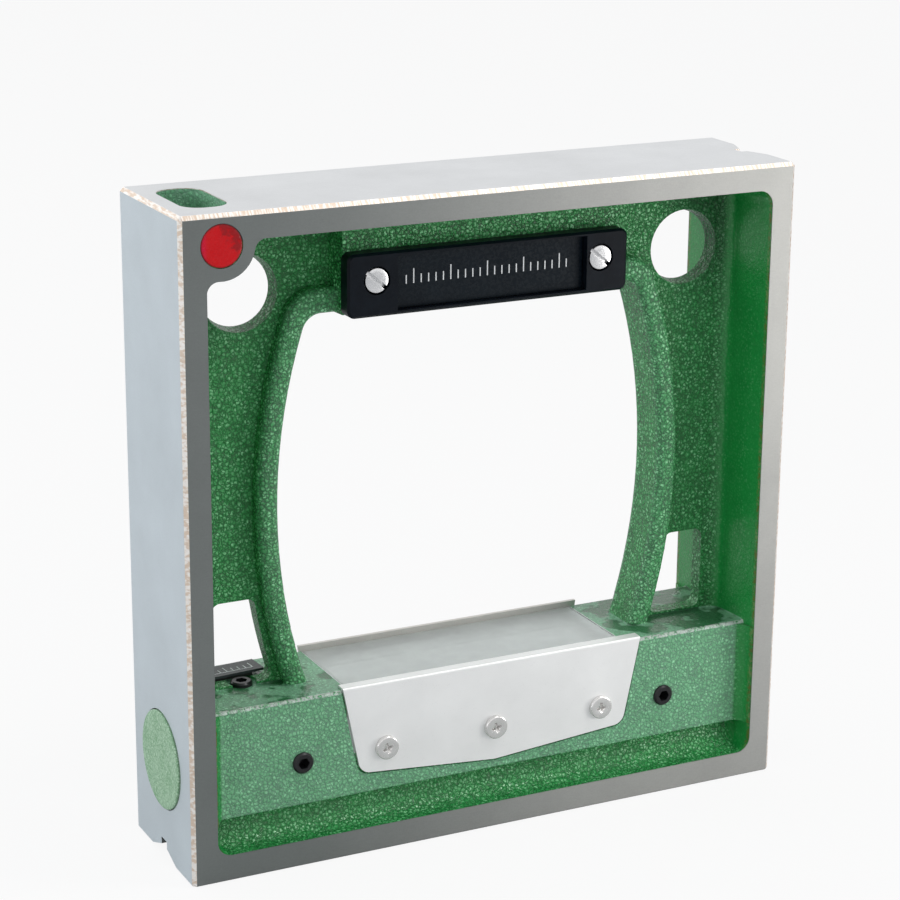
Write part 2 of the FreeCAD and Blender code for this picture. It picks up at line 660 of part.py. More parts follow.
def screw_holes():
    """Return the cutters for every threaded hole in the casting."""
    cutters = []
    depth = COVER_PANEL_DEPTH + COVER_SCREW_LENGTH + PAST_FACE
    for x in cover_screw_points(COVER_MID_X):
        start = (x, -BLOCK_HALF_DEPTH - PAST_FACE, COVER_SCREW_Z)
        cutters.append(cylinder(COVER_SCREW_SHANK_RADIUS + FIT_GAP, start, depth, AXIS_Y))
    for x in cover_screw_points(REAR_COVER_MID_X):
        start = (x, -BLOCK_HALF_DEPTH - PAST_FACE, COVER_SCREW_Z)
        hole = cylinder(COVER_SCREW_SHANK_RADIUS + FIT_GAP, start, depth, AXIS_Y)
        cutters.append(mirror_across_web(hole))
    for x in (-GRIP_SCREW_X, GRIP_SCREW_X):
        start = (x, -PAD_HALF_DEPTH - PAST_FACE, GRIP_SCREW_Z)
        depth = GRIP_SCREW_LENGTH + PAST_FACE
        hole = cylinder(GRIP_SCREW_SHANK_RADIUS + FIT_GAP, start, depth, AXIS_Y)
        cutters.append(hole)
        cutters.append(mirror_across_web(hole))
    for x in (-SET_SCREW_X, SET_SCREW_X):
        start = (x, -BLOCK_HALF_DEPTH - PAST_FACE, SET_SCREW_Z)
        cutters.append(cylinder(SET_SCREW_RADIUS + FIT_GAP, start, BLOCK_HALF_DEPTH, AXIS_Y))
    start = (ADJUSTER_X, 0, BORE_Z)
    length = BLOCK_TOP_Z - BORE_Z + PAST_FACE
    cutters.append(cylinder(SET_SCREW_RADIUS + FIT_GAP, start, length, AXIS_Z))
    spot_face = cylinder(ADJUSTER_SPOT_FACE_RADIUS, (ADJUSTER_X, 0, BLOCK_TOP_Z), CUT_MARGIN, AXIS_Z)
    cutters.append(spot_face)
    return cutters


def build_frame_casting():
    """Return the whole frame: ground rim, web, bead, grip pad and vial block in one casting."""
    recess = front_recess()
    body = ground_body().cut(recess)
    body = body.cut(mirror_across_web(recess))
    trough = foot_trough()
    body = body.multiFuse([grip_pad(), vial_block(), corner_boss()])
    body = body.multiFuse([trough, mirror_across_web(trough)])
    through_window = lens_prism(0, BLOCK_TOP_Z, WINDOW_TOP_Z, BODY_HALF_DEPTH + PAST_FACE)
    body = body.cut(through_window)
    body = body.fuse(bead_ring())
    window_floor = lens_prism(0, BLOCK_TOP_Z, WINDOW_MID_Z, BODY_HALF_DEPTH)
    cutters = [base_vee(), side_vee(), window_floor, top_slot()]
    cutters += [side_window(-1), side_window(1)]
    for x in (-HOLE_X, HOLE_X):
        cutters.append(web_hole(x))
    spot_start = (BOSS_X, -BODY_HALF_DEPTH - PAST_FACE, BOSS_Z)
    spot_length = SPOT_POCKET_DEPTH + PAST_FACE
    cutters.append(cylinder(SPOT_RADIUS + FIT_GAP, spot_start, spot_length, AXIS_Y))
    cutters += chamber_cutters()
    cutters.append(panel_recess(COVER_MID_X, COVER_TOP_HALF_LENGTH))
    rear_panel = panel_recess(REAR_COVER_MID_X, REAR_COVER_HALF_LENGTH)
    cutters.append(mirror_across_web(rear_panel))
    cutters += screw_holes()
    for cutter in cutters:
        body = body.cut(cutter)
    return body.removeSplitter()


# ---------------------------------------------------------------- small parts on the frame
def build_datum_spot():
    """Return the painted datum spot, a little below the front face."""
    start = (BOSS_X, -BODY_HALF_DEPTH + SPOT_POCKET_DEPTH - SPOT_THICKNESS, BOSS_Z)
    return cylinder(SPOT_RADIUS, start, SPOT_THICKNESS, AXIS_Y)


def build_side_plug():
    """Return the plug that closes the bore in the left side."""
    start = (-BODY_HALF_LENGTH - PLUG_PROUD, 0, BORE_Z)
    plug = cylinder(PLUG_RADIUS, start, PLUG_PROUD + PLUG_SEAT_DEPTH, AXIS_X)
    return plug.makeFillet(PLUG_EDGE_RADIUS, edges_in_plane(plug, 0, start[0]))


def build_window_glass():
    """Return the pane over the vial chamber."""
    pane = box_between(
        (-GLASS_HALF_LENGTH, -GLASS_HALF_WIDTH, GLASS_BOTTOM_Z),
        (GLASS_HALF_LENGTH, GLASS_HALF_WIDTH, BLOCK_TOP_Z),
    )
    return pane.makeChamfer(GLASS_EDGE_CHAMFER, edges_in_plane(pane, 2, BLOCK_TOP_Z))


def build_window_gasket():
    """Return the flat frame gasket under the pane."""
    outer = box_between(
        (-GLASS_HALF_LENGTH, -GLASS_HALF_WIDTH, GASKET_BOTTOM_Z),
        (GLASS_HALF_LENGTH, GLASS_HALF_WIDTH, GLASS_BOTTOM_Z),
    )
    inner = box_between(
        (-CHAMBER_HALF_LENGTH + GASKET_INNER_STEP,
         -CHAMBER_HALF_WIDTH + GASKET_INNER_STEP,
         GASKET_BOTTOM_Z - PAST_FACE),
        (CHAMBER_HALF_LENGTH - GASKET_INNER_STEP,
         CHAMBER_HALF_WIDTH - GASKET_INNER_STEP,
         GLASS_BOTTOM_Z + PAST_FACE),
    )
    return outer.cut(inner)


def drill_cover(plate, mid_x):
    """Return the plate with its three clearance holes."""
    radius = COVER_SCREW_SHANK_RADIUS + LOOSE_GAP
    for x in cover_screw_points(mid_x):
        start = (x, -COVER_FACE_Y - PAST_FACE, COVER_SCREW_Z)
        plate = plate.cut(cylinder(radius, start, COVER_THICKNESS + 2 * PAST_FACE, AXIS_Y))
    return plate


def build_front_cover_plate():
    """Return the bright front plate with its lip bent back over the pane."""
    top_z = BLOCK_TOP_Z + COVER_LIP_THICKNESS
    sheet = cover_sheet(COVER_MID_X, COVER_TOP_HALF_LENGTH, top_z, 0, COVER_THICKNESS)
    lip = box_between(
        (COVER_MID_X - COVER_TOP_HALF_LENGTH, -PANEL_Y, BLOCK_TOP_Z),
        (COVER_MID_X + COVER_TOP_HALF_LENGTH, -COVER_FACE_Y + COVER_LIP_REACH, top_z),
    )
    plate = sheet.fuse(lip)
    plate = plate.removeSplitter()
    bend = edges_along(
        plate,
        AXIS_X,
        lambda middle: abs(middle.y + COVER_FACE_Y) < FIT_GAP and abs(middle.z - top_z) < FIT_GAP,
    )
    plate = plate.makeFillet(COVER_BEND_RADIUS, bend)
    return drill_cover(plate, COVER_MID_X)


def build_rear_cover_plate():
    """Return the flat rear plate, which stands a little above the pane."""
    plate = cover_sheet(
        REAR_COVER_MID_X,
        REAR_COVER_HALF_LENGTH,
        REAR_COVER_TOP_Z,
        0,
        COVER_THICKNESS,
    )
    return mirror_across_web(drill_cover(plate, REAR_COVER_MID_X))


def cover_screw(x):
    """Return one cross-recess screw for the front cover plate."""
    head_start = (x, -COVER_FACE_Y - COVER_SCREW_HEAD_HEIGHT, COVER_SCREW_Z)
    head = cylinder(COVER_SCREW_HEAD_RADIUS, head_start, COVER_SCREW_HEAD_HEIGHT, AXIS_Y)
    rounding = COVER_SCREW_HEAD_HEIGHT * 0.6
    head = head.makeFillet(rounding, edges_in_plane(head, 1, head_start[1]))
    shank_length = COVER_THICKNESS + COVER_SCREW_LENGTH - LOOSE_GAP
    shank_start = (x, -COVER_FACE_Y - FIT_GAP, COVER_SCREW_Z)
    shank = cylinder(COVER_SCREW_SHANK_RADIUS, shank_start, shank_length, AXIS_Y)
    screw = head.fuse(shank)
    for reach_x, reach_z in (
        (CROSS_ARM_LENGTH / 2, CROSS_ARM_WIDTH / 2),
        (CROSS_ARM_WIDTH / 2, CROSS_ARM_LENGTH / 2),
    ):
        arm = box_between(
            (x - reach_x, head_start[1] - PAST_FACE, COVER_SCREW_Z - reach_z),
            (x + reach_x, head_start[1] + CROSS_DEPTH, COVER_SCREW_Z + reach_z),
        )
        screw = screw.cut(arm)
    return screw.removeSplitter()


def build_front_cover_screws():
    """Return the three screws of the front cover plate."""
    return Part.makeCompound([cover_screw(x) for x in cover_screw_points(COVER_MID_X)])


def build_rear_cover_screws():
    """Return the three screws of the rear cover plate."""
    screws = [cover_screw(x) for x in cover_screw_points(REAR_COVER_MID_X)]
    return mirror_across_web(Part.makeCompound(screws))


# ---------------------------------------------------------------- grips
def build_front_grip():
    """Return the front grip with its label recess and its two screw sinks."""
    grip = box_between(
        (-GRIP_HALF_LENGTH, -GRIP_FRONT_Y, GRIP_BOTTOM_Z),
        (GRIP_HALF_LENGTH, -PAD_HALF_DEPTH, GRIP_TOP_Z),
    )
    grip = grip.makeFillet(GRIP_CORNER_RADIUS, edges_along(grip, AXIS_Y, lambda middle: True))
    grip = grip.makeChamfer(GRIP_EDGE_CHAMFER, edges_in_plane(grip, 1, -GRIP_FRONT_Y))
    label = box_between(
        (GRIP_LABEL_LEFT_X, -GRIP_FRONT_Y - PAST_FACE, GRIP_BOTTOM_Z + GRIP_LABEL_BORDER),
        (GRIP_LABEL_RIGHT_X, -GRIP_FRONT_Y + GRIP_LABEL_DEPTH, GRIP_TOP_Z - GRIP_LABEL_BORDER),
    )
    grip = grip.cut(label)
    for x in (-GRIP_SCREW_X, GRIP_SCREW_X):
        sink_start = (x, -GRIP_FRONT_Y - PAST_FACE, GRIP_SCREW_Z)
        sink = cylinder(
            GRIP_SCREW_SINK_RADIUS,
            sink_start,
            GRIP_SCREW_SINK_DEPTH + PAST_FACE,
            AXIS_Y,
        )
        hole = cylinder(
            GRIP_SCREW_SHANK_RADIUS + LOOSE_GAP,
            sink_start,
            GRIP_THICKNESS + 2 * PAST_FACE,
            AXIS_Y,
        )
        grip = grip.cut(sink).cut(hole)
    return grip


def build_rear_grip():
    """Return the rear grip, the mirror of the front one."""
    return mirror_across_web(build_front_grip())


def build_front_name_plate():
    """Return the thin plate that lies on the floor of the label recess."""
    floor_y = -GRIP_FRONT_Y + GRIP_LABEL_DEPTH
    return box_between(
        (GRIP_LABEL_LEFT_X + NAME_PLATE_MARGIN,
         floor_y - NAME_PLATE_THICKNESS,
         GRIP_BOTTOM_Z + GRIP_LABEL_BORDER + NAME_PLATE_MARGIN),
        (GRIP_LABEL_RIGHT_X - NAME_PLATE_MARGIN,
         floor_y,
         GRIP_TOP_Z - GRIP_LABEL_BORDER - NAME_PLATE_MARGIN),
    )


def build_rear_name_plate():
    """Return the thin plate in the rear grip."""
    return mirror_across_web(build_front_name_plate())


def grip_screw(x):
    """Return one slotted screw of the front grip."""
    seat_y = -GRIP_FRONT_Y + GRIP_SCREW_SINK_DEPTH
    head_start = (x, seat_y - GRIP_SCREW_HEAD_HEIGHT, GRIP_SCREW_Z)
    head = cylinder(GRIP_SCREW_HEAD_RADIUS, head_start, GRIP_SCREW_HEAD_HEIGHT, AXIS_Y)
    rounding = GRIP_SCREW_HEAD_HEIGHT / 3
    head = head.makeFillet(rounding, edges_in_plane(head, 1, head_start[1]))
    end_y = -PAD_HALF_DEPTH + GRIP_SCREW_LENGTH - LOOSE_GAP
    shank_start = (x, seat_y - FIT_GAP, GRIP_SCREW_Z)
    shank = cylinder(GRIP_SCREW_SHANK_RADIUS, shank_start, end_y - shank_start[1], AXIS_Y)
    slot = box_between(
        (x - GRIP_SCREW_HEAD_RADIUS - PAST_FACE,
         head_start[1] - PAST_FACE,
         GRIP_SCREW_Z - GRIP_SCREW_SLOT_WIDTH / 2),
        (x + GRIP_SCREW_HEAD_RADIUS + PAST_FACE,
         head_start[1] + GRIP_SCREW_SLOT_DEPTH,
         GRIP_SCREW_Z + GRIP_SCREW_SLOT_WIDTH / 2),
    )
    slot.rotate(Vector(x, 0, GRIP_SCREW_Z), AXIS_Y, GRIP_SCREW_SLOT_ANGLE)
    return head.fuse(shank).cut(slot).removeSplitter()


def build_front_grip_screws():
    """Return the two screws of the front grip."""
    return Part.makeCompound([grip_screw(x) for x in (-GRIP_SCREW_X, GRIP_SCREW_X)])


def build_rear_grip_screws():
    """Return the two screws of the rear grip."""
    return mirror_across_web(build_front_grip_screws())


# ---------------------------------------------------------------- set screws
def hexagon_socket(depth):
    """Return the hexagon socket cutter about the Z axis, its mouth at Z = 0, going down."""
    corner_radius = HEX_ACROSS_FLATS / math.sqrt(3)
    points = []
    for step in range(6):
        angle = math.radians(60 * step)
        points.append((corner_radius * math.cos(angle), corner_radius * math.sin(angle)))
    return prism_along_z(points, -depth, PAST_FACE)


def upright_set_screw(length):
    """Return a socket set screw with its mouth at Z = 0 and its tip straight below."""
    screw = cylinder(SET_SCREW_RADIUS, (0, 0, -length), length, AXIS_Z)
    screw = screw.makeChamfer(SET_SCREW_CUP, edges_in_plane(screw, 2, 0))
    return screw.cut(hexagon_socket(HEX_DEPTH))


def lay_along_y(screw, x, z):
    """Return the upright screw laid down so that it points along +Y from the block's front."""
    screw.rotate(Vector(0, 0, 0), AXIS_X, 90)
    screw.translate(Vector(x, SET_SCREW_FRONT_Y, z))
    return screw


def build_locking_screw():
    """Return the left front set screw, which clamps the carrier once it is set."""
    length = -CARRIER_HALF_WIDTH - 2 * FIT_GAP - SET_SCREW_FRONT_Y
    return lay_along_y(upright_set_screw(length), -SET_SCREW_X, SET_SCREW_Z)


def build_pivot_screw():
    """Return the right front set screw, whose dog point is the carrier's pivot."""
    length = -CARRIER_HALF_WIDTH - LOOSE_GAP - SET_SCREW_FRONT_Y
    point = cylinder(
        PIVOT_POINT_RADIUS,
        (0, 0, -length - PIVOT_POINT_LENGTH),
        PIVOT_POINT_LENGTH + PAST_FACE,
        AXIS_Z,
    )
    screw = upright_set_screw(length).fuse(point).removeSplitter()
    return lay_along_y(screw, SET_SCREW_X, SET_SCREW_Z)


def build_adjusting_screw():
    """Return the upright set screw in the block top that tilts the carrier."""
    screw = upright_set_screw(ADJUSTER_TOP_Z - ADJUSTER_TIP_Z)
    screw.translate(Vector(ADJUSTER_X, 0, ADJUSTER_TOP_Z))
    return screw


# ---------------------------------------------------------------- carrier and vial
def build_vial_carrier():
    """Return the bar in the bore that carries the tray and tilts about the pivot screw."""
    bar = box_between(
        (CARRIER_LEFT_X, -CARRIER_HALF_WIDTH, CARRIER_BOTTOM_Z),
        (CARRIER_RIGHT_X, CARRIER_HALF_WIDTH, CARRIER_TOP_Z),
    )
    bar = bar.makeChamfer(CARRIER_EDGE_CHAMFER, edges_along(bar, AXIS_X, lambda middle: True))
    start = (SET_SCREW_X, -CARRIER_HALF_WIDTH - PAST_FACE, SET_SCREW_Z)
    depth = PIVOT_POINT_LENGTH + 2 * PAST_FACE
    return bar.cut(cylinder(PIVOT_POINT_RADIUS + FIT_GAP, start, depth, AXIS_Y))


def build_vial_tray():
    """Return the white tray with its trough for the vial."""
    tray = box_between(
        (-TRAY_HALF_LENGTH, -TRAY_HALF_WIDTH, CARRIER_TOP_Z),
        (TRAY_HALF_LENGTH, TRAY_HALF_WIDTH, TRAY_TOP_Z),
    )
    hollow = box_between(
        (-TRAY_HALF_LENGTH + TRAY_WALL, -TRAY_HALF_WIDTH + TRAY_WALL, TRAY_FLOOR_Z),
        (TRAY_HALF_LENGTH - TRAY_WALL, TRAY_HALF_WIDTH - TRAY_WALL, TRAY_TOP_Z + PAST_FACE),
    )
    half_length = VIAL_HALF_LENGTH + LOOSE_GAP
    trough = cylinder(
        VIAL_RADIUS + FIT_GAP,
        (-half_length, VIAL_Y, VIAL_Z),
        2 * half_length,
        AXIS_X,
    )
    return tray.cut(hollow).cut(trough)


def build_vial_tube():
    """Return the glass tube of the main vial."""
    start = (-VIAL_HALF_LENGTH, VIAL_Y, VIAL_Z)
    outer = cylinder(VIAL_RADIUS, start, 2 * VIAL_HALF_LENGTH, AXIS_X)
    inner = cylinder(
        VIAL_INNER_RADIUS,
        (-VIAL_HALF_LENGTH - PAST_FACE, VIAL_Y, VIAL_Z),
        2 * (VIAL_HALF_LENGTH + PAST_FACE),
        AXIS_X,
    )
    return outer.cut(inner)


def build_vial_end_plugs():
    """Return the two plugs that seal the vial."""
    radius = VIAL_INNER_RADIUS - FIT_GAP
    left = cylinder(radius, (-VIAL_HALF_LENGTH, VIAL_Y, VIAL_Z), VIAL_PLUG_THICKNESS, AXIS_X)
    right = cylinder(radius, (VIAL_PLUG_INNER_X, VIAL_Y, VIAL_Z), VIAL_PLUG_THICKNESS, AXIS_X)
    return Part.makeCompound([left, right])


def vial_fill(radius, half_length, low_z, high_z):
    """Return the part of the vial's bore between two heights above its axis."""
    round_bar = cylinder(radius, (-half_length, VIAL_Y, VIAL_Z), 2 * half_length, AXIS_X)
    slice_box = box_between(
        (-half_length, VIAL_Y - VIAL_RADIUS, VIAL_Z + low_z),
        (half_length, VIAL_Y + VIAL_RADIUS, VIAL_Z + high_z),
    )
    return round_bar.common(slice_box)


def build_vial_spirit():
    """Return the spirit, with the bubble's path left clear along the top of the vial."""
    half_length = VIAL_PLUG_INNER_X - SPIRIT_END_GAP
    return vial_fill(VIAL_INNER_RADIUS - FIT_GAP, half_length, -VIAL_RADIUS, SPIRIT_LEVEL)


def build_vial_bubble():
    """Return the bubble, which lies against the top of the vial's bore."""
    radius = VIAL_INNER_RADIUS - BUBBLE_CLEARANCE
    low_z = SPIRIT_LEVEL + BUBBLE_CLEARANCE
    return vial_fill(radius, BUBBLE_HALF_LENGTH, low_z, VIAL_RADIUS)


def build_carrier_spring():
    """Return the leaf spring under the free end of the carrier."""
    foot = SPRING_FOOT_HALF_SPAN
    crest = SPRING_CREST_HALF_SPAN
    low = SPRING_FOOT_Z
    high = SPRING_CREST_Z
    rise = SPRING_THICKNESS
    shape = [
        (-foot, low),
        (-foot + crest, low),
        (-crest, high),
        (crest, high),
        (foot - crest, low),
        (foot, low),
        (foot, low + rise),
        (foot - crest, low + rise),
        (crest, high + rise),
        (-crest, high + rise),
        (-foot + crest, low + rise),
        (-foot, low + rise),
    ]
    points = [(ADJUSTER_X + x, z) for x, z in shape]
    return prism_along_y(points, -SPRING_HALF_WIDTH, SPRING_HALF_WIDTH)


# ---------------------------------------------------------------- small plate on the block top
def turned_slab(length, width, bottom_z, height):
    """Return a slab centred on the label's place, turned by LABEL_TURN."""
    slab = box_between(
        (LABEL_X - length / 2, LABEL_Y - width / 2, bottom_z),
        (LABEL_X + length / 2, LABEL_Y + width / 2, bottom_z + height),
    )
    slab.rotate(Vector(LABEL_X, LABEL_Y, 0), AXIS_Z, LABEL_TURN)
    return slab


def build_index_plate():
    """Return the small dark plate on the block top, behind the web."""
    return turned_slab(LABEL_LENGTH, LABEL_WIDTH, LABEL_BOTTOM_Z, LABEL_THICKNESS)


def build_index_plate_pad():
    """Return the pad between the small plate and the block top."""
    return turned_slab(LABEL_PAD_LENGTH, LABEL_PAD_WIDTH, BLOCK_TOP_Z, LABEL_PAD_HEIGHT)


# ---------------------------------------------------------------- export
NODES = {
    "frame_casting": build_frame_casting,
    "datum_spot": build_datum_spot,
    "side_plug": build_side_plug,
    "window_glass": build_window_glass,
    "window_gasket": build_window_gasket,
    "front_cover_plate": build_front_cover_plate,
    "rear_cover_plate": build_rear_cover_plate,
    "front_cover_screws": build_front_cover_screws,
    "rear_cover_screws": build_rear_cover_screws,
    "front_grip": build_front_grip,
    "rear_grip": build_rear_grip,
    "front_name_plate": build_front_name_plate,
    "rear_name_plate": build_rear_name_plate,
    "front_grip_screws": build_front_grip_screws,
    "rear_grip_screws": build_rear_grip_screws,
    "locking_screw": build_locking_screw,
    "pivot_screw": build_pivot_screw,
    "adjusting_screw": build_adjusting_screw,
    "vial_carrier": build_vial_carrier,
    "carrier_spring": build_carrier_spring,
    "vial_tray": build_vial_tray,
    "vial_tube": build_vial_tube,
    "vial_end_plugs": build_vial_end_plugs,
    "vial_spirit": build_vial_spirit,
    "vial_bubble": build_vial_bubble,
    "index_plate": build_index_plate,
    "index_plate_pad": build_index_plate_pad,
}

os.makedirs("parts", exist_ok=True)
for node, builder in NODES.items():
    shape = builder()
    shape.translate(Vector(ORIGIN_SHIFT_X, 0, 0))
    shape.exportStep("parts/" + node + ".step")
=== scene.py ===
"""Looks of a 200 mm machinist's frame level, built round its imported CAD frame."""

import logging
import math
from dataclasses import dataclass
from enum import Enum
from typing import Callable, Iterable, Sequence, Union

import bmesh
import bpy
from mathutils import Matrix, Vector


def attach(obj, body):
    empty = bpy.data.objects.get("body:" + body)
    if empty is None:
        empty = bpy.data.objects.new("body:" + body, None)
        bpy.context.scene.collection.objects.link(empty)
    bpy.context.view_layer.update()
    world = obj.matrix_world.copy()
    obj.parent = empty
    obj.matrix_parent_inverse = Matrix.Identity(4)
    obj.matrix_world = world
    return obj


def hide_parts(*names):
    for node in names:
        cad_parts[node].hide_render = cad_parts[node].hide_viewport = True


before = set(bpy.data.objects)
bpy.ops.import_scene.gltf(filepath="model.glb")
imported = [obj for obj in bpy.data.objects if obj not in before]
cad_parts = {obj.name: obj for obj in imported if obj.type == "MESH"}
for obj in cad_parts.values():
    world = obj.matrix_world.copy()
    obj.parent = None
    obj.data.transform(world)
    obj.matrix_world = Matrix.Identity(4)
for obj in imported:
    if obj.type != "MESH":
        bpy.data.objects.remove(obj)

LOG = logging.getLogger("frame_level")
MM = 0.001
ORIGIN_X = 0.35

Socket = bpy.types.NodeSocket
Value = Union[float, Sequence[float], Socket]
Point = tuple[float, float, float]
Zones = bpy.types.bpy_prop_collection


class Body(Enum):
    """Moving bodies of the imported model."""

    FRAME = "frame"
    CARRIER = "carrier"
    BUBBLE = "bubble"
    ADJUSTER = "adjusting_screw"
    LOCKING = "locking_screw"
    PIVOT = "pivot_screw"


class Side(Enum):
    """Face of the body, as the sign of its Y direction."""

    FRONT = -1
    REAR = 1


# ---------------------------------------------------------------- node graphs
class Graph:
    """Lays nodes into one material, world or node group."""

    def __init__(self, tree: bpy.types.NodeTree) -> None:
        """Start on an empty tree.

        Args:
            tree: Node tree that is cleared and then filled.
        """
        self.tree = tree
        self.tree.nodes.clear()

    def node(self, kind: str, **settings: object) -> bpy.types.Node:
        """Add one node.

        Args:
            kind: Blender's name of the node type.
            **settings: Properties set on the node.

        Returns:
            The new node.
        """
        made = self.tree.nodes.new(kind)
        for name, value in settings.items():
            setattr(made, name, value)
        return made

    def feed(self, socket: Socket, value: Value) -> None:
        """Link value into socket, or set it there when it is a constant."""
        if isinstance(value, bpy.types.NodeSocket):
            self.tree.links.new(value, socket)
        else:
            socket.default_value = value

    def math(self, operation: str, first: Value, second: Value = 0.0, clamp: bool = False) -> Socket:
        """Return first and second joined by one maths operation."""
        made = self.node("ShaderNodeMath", operation=operation, use_clamp=clamp)
        self.feed(made.inputs[0], first)
        self.feed(made.inputs[1], second)
        return made.outputs[0]

    def ramp(self, value: Value, low: float, high: float, start: float = 0.0, end: float = 1.0) -> Socket:
        """Return value carried smoothly from the range low..high to start..end."""
        made = self.node("ShaderNodeMapRange", interpolation_type="SMOOTHSTEP")
        for socket, given in zip(made.inputs[:5], (value, low, high, start, end)):
            self.feed(socket, given)
        return made.outputs[0]

    def band(self, value: Value, low: float, high: float, soft: float) -> Socket:
        """Return 1 where value lies between low and high, with soft borders."""
        rise = self.ramp(value, low - soft, low + soft)
        fall = self.ramp(value, high - soft, high + soft, 1.0, 0.0)
        return self.math("MULTIPLY", rise, fall)

    def mix(self, share: Value, first: Value, second: Value) -> Socket:
        """Return the colour first turned into second by share."""
        made = self.node("ShaderNodeMix", data_type="RGBA")
        self.feed(made.inputs[0], share)
        self.feed(made.inputs[6], first)
        self.feed(made.inputs[7], second)
        return made.outputs[2]

    def blend(self, share: Value, first: Value, second: Value) -> Socket:
        """Return the number first turned into second by share."""
        made = self.node("ShaderNodeMix", data_type="FLOAT")
        self.feed(made.inputs[0], share)
        self.feed(made.inputs[2], first)
        self.feed(made.inputs[3], second)
        return made.outputs[0]

    def vector(self, operation: str, first: Value, second: Value = (0.0, 0.0, 0.0)) -> Socket:
        """Return first and second joined by one vector operation."""
        made = self.node("ShaderNodeVectorMath", operation=operation)
        self.feed(made.inputs[0], first)
        self.feed(made.inputs[1], second)
        return made.outputs[0]

    def noise(self, where: Socket, scale: Value, detail: float = 2.0, rough: float = 0.5) -> Socket:
        """Return plain noise from 0 to 1 at scale per unit of where."""
        made = self.node("ShaderNodeTexNoise")
        self.feed(made.inputs["Vector"], where)
        self.feed(made.inputs["Scale"], scale)
        made.inputs["Detail"].default_value = detail
        made.inputs["Roughness"].default_value = rough
        return made.outputs["Factor"] if "Factor" in made.outputs else made.outputs["Fac"]

    def cells(self, where: Socket, scale: Value, feature: str = "F1") -> Socket:
        """Return the distance output of a cell pattern."""
        made = self.node("ShaderNodeTexVoronoi", feature=feature)
        self.feed(made.inputs["Vector"], where)
        self.feed(made.inputs["Scale"], scale)
        return made.outputs["Distance"]

    def split(self, where: Socket) -> tuple[Socket, Socket, Socket]:
        """Return the X, Y and Z of where."""
        made = self.node("ShaderNodeSeparateXYZ")
        self.feed(made.inputs[0], where)
        return made.outputs[0], made.outputs[1], made.outputs[2]

    def millimetres(self) -> Socket:
        """Return the place on the object, in millimetres."""
        place = self.node("ShaderNodeTexCoord").outputs["Object"]
        made = self.node("ShaderNodeVectorMath", operation="SCALE")
        self.feed(made.inputs[0], place)
        made.inputs["Scale"].default_value = 1.0 / MM
        return made.outputs[0]

    def group(self, tree: bpy.types.NodeTree, **given: Value) -> bpy.types.Node:
        """Place a shared effect.

        Args:
            tree: Node group that holds the effect.
            **given: Values of its inputs, with spaces in their names written as underscores.

        Returns:
            The group node.
        """
        made = self.node("ShaderNodeGroup", node_tree=tree)
        for name, value in given.items():
            self.feed(made.inputs[name.replace("_", " ")], value)
        return made


class Effect:
    """A shared node group with named sockets, built once and kept."""

    _built: dict[str, bpy.types.NodeTree] = {}

    def __init__(self, name: str, inputs: dict[str, str], outputs: dict[str, str]) -> None:
        """Describe the group.

        Args:
            name: Name of the group.
            inputs: Socket names and their kinds.
            outputs: Socket names and their kinds.
        """
        self.name = name
        self.inputs = inputs
        self.outputs = outputs

    def tree(self, fill: Callable[[Graph, dict[str, Socket], dict[str, Socket]], None]) -> bpy.types.NodeTree:
        """Return the group, filled by fill the first time.

        Args:
            fill: Function that lays the nodes between the given input and output sockets.

        Returns:
            The finished node group.
        """
        if self.name in self._built:
            return self._built[self.name]
        made = bpy.data.node_groups.new(self.name, "ShaderNodeTree")
        for label, kind in self.inputs.items():
            made.interface.new_socket(label, in_out="INPUT", socket_type=kind)
        for label, kind in self.outputs.items():
            made.interface.new_socket(label, in_out="OUTPUT", socket_type=kind)
        graph = Graph(made)
        source = graph.node("NodeGroupInput")
        target = graph.node("NodeGroupOutput")
        fill(graph, {n: source.outputs[n] for n in self.inputs}, {n: target.inputs[n] for n in self.outputs})
        self._built[self.name] = made
        return made


NUMBER = "NodeSocketFloat"
COLOUR = "NodeSocketColor"
VECTOR = "NodeSocketVector"


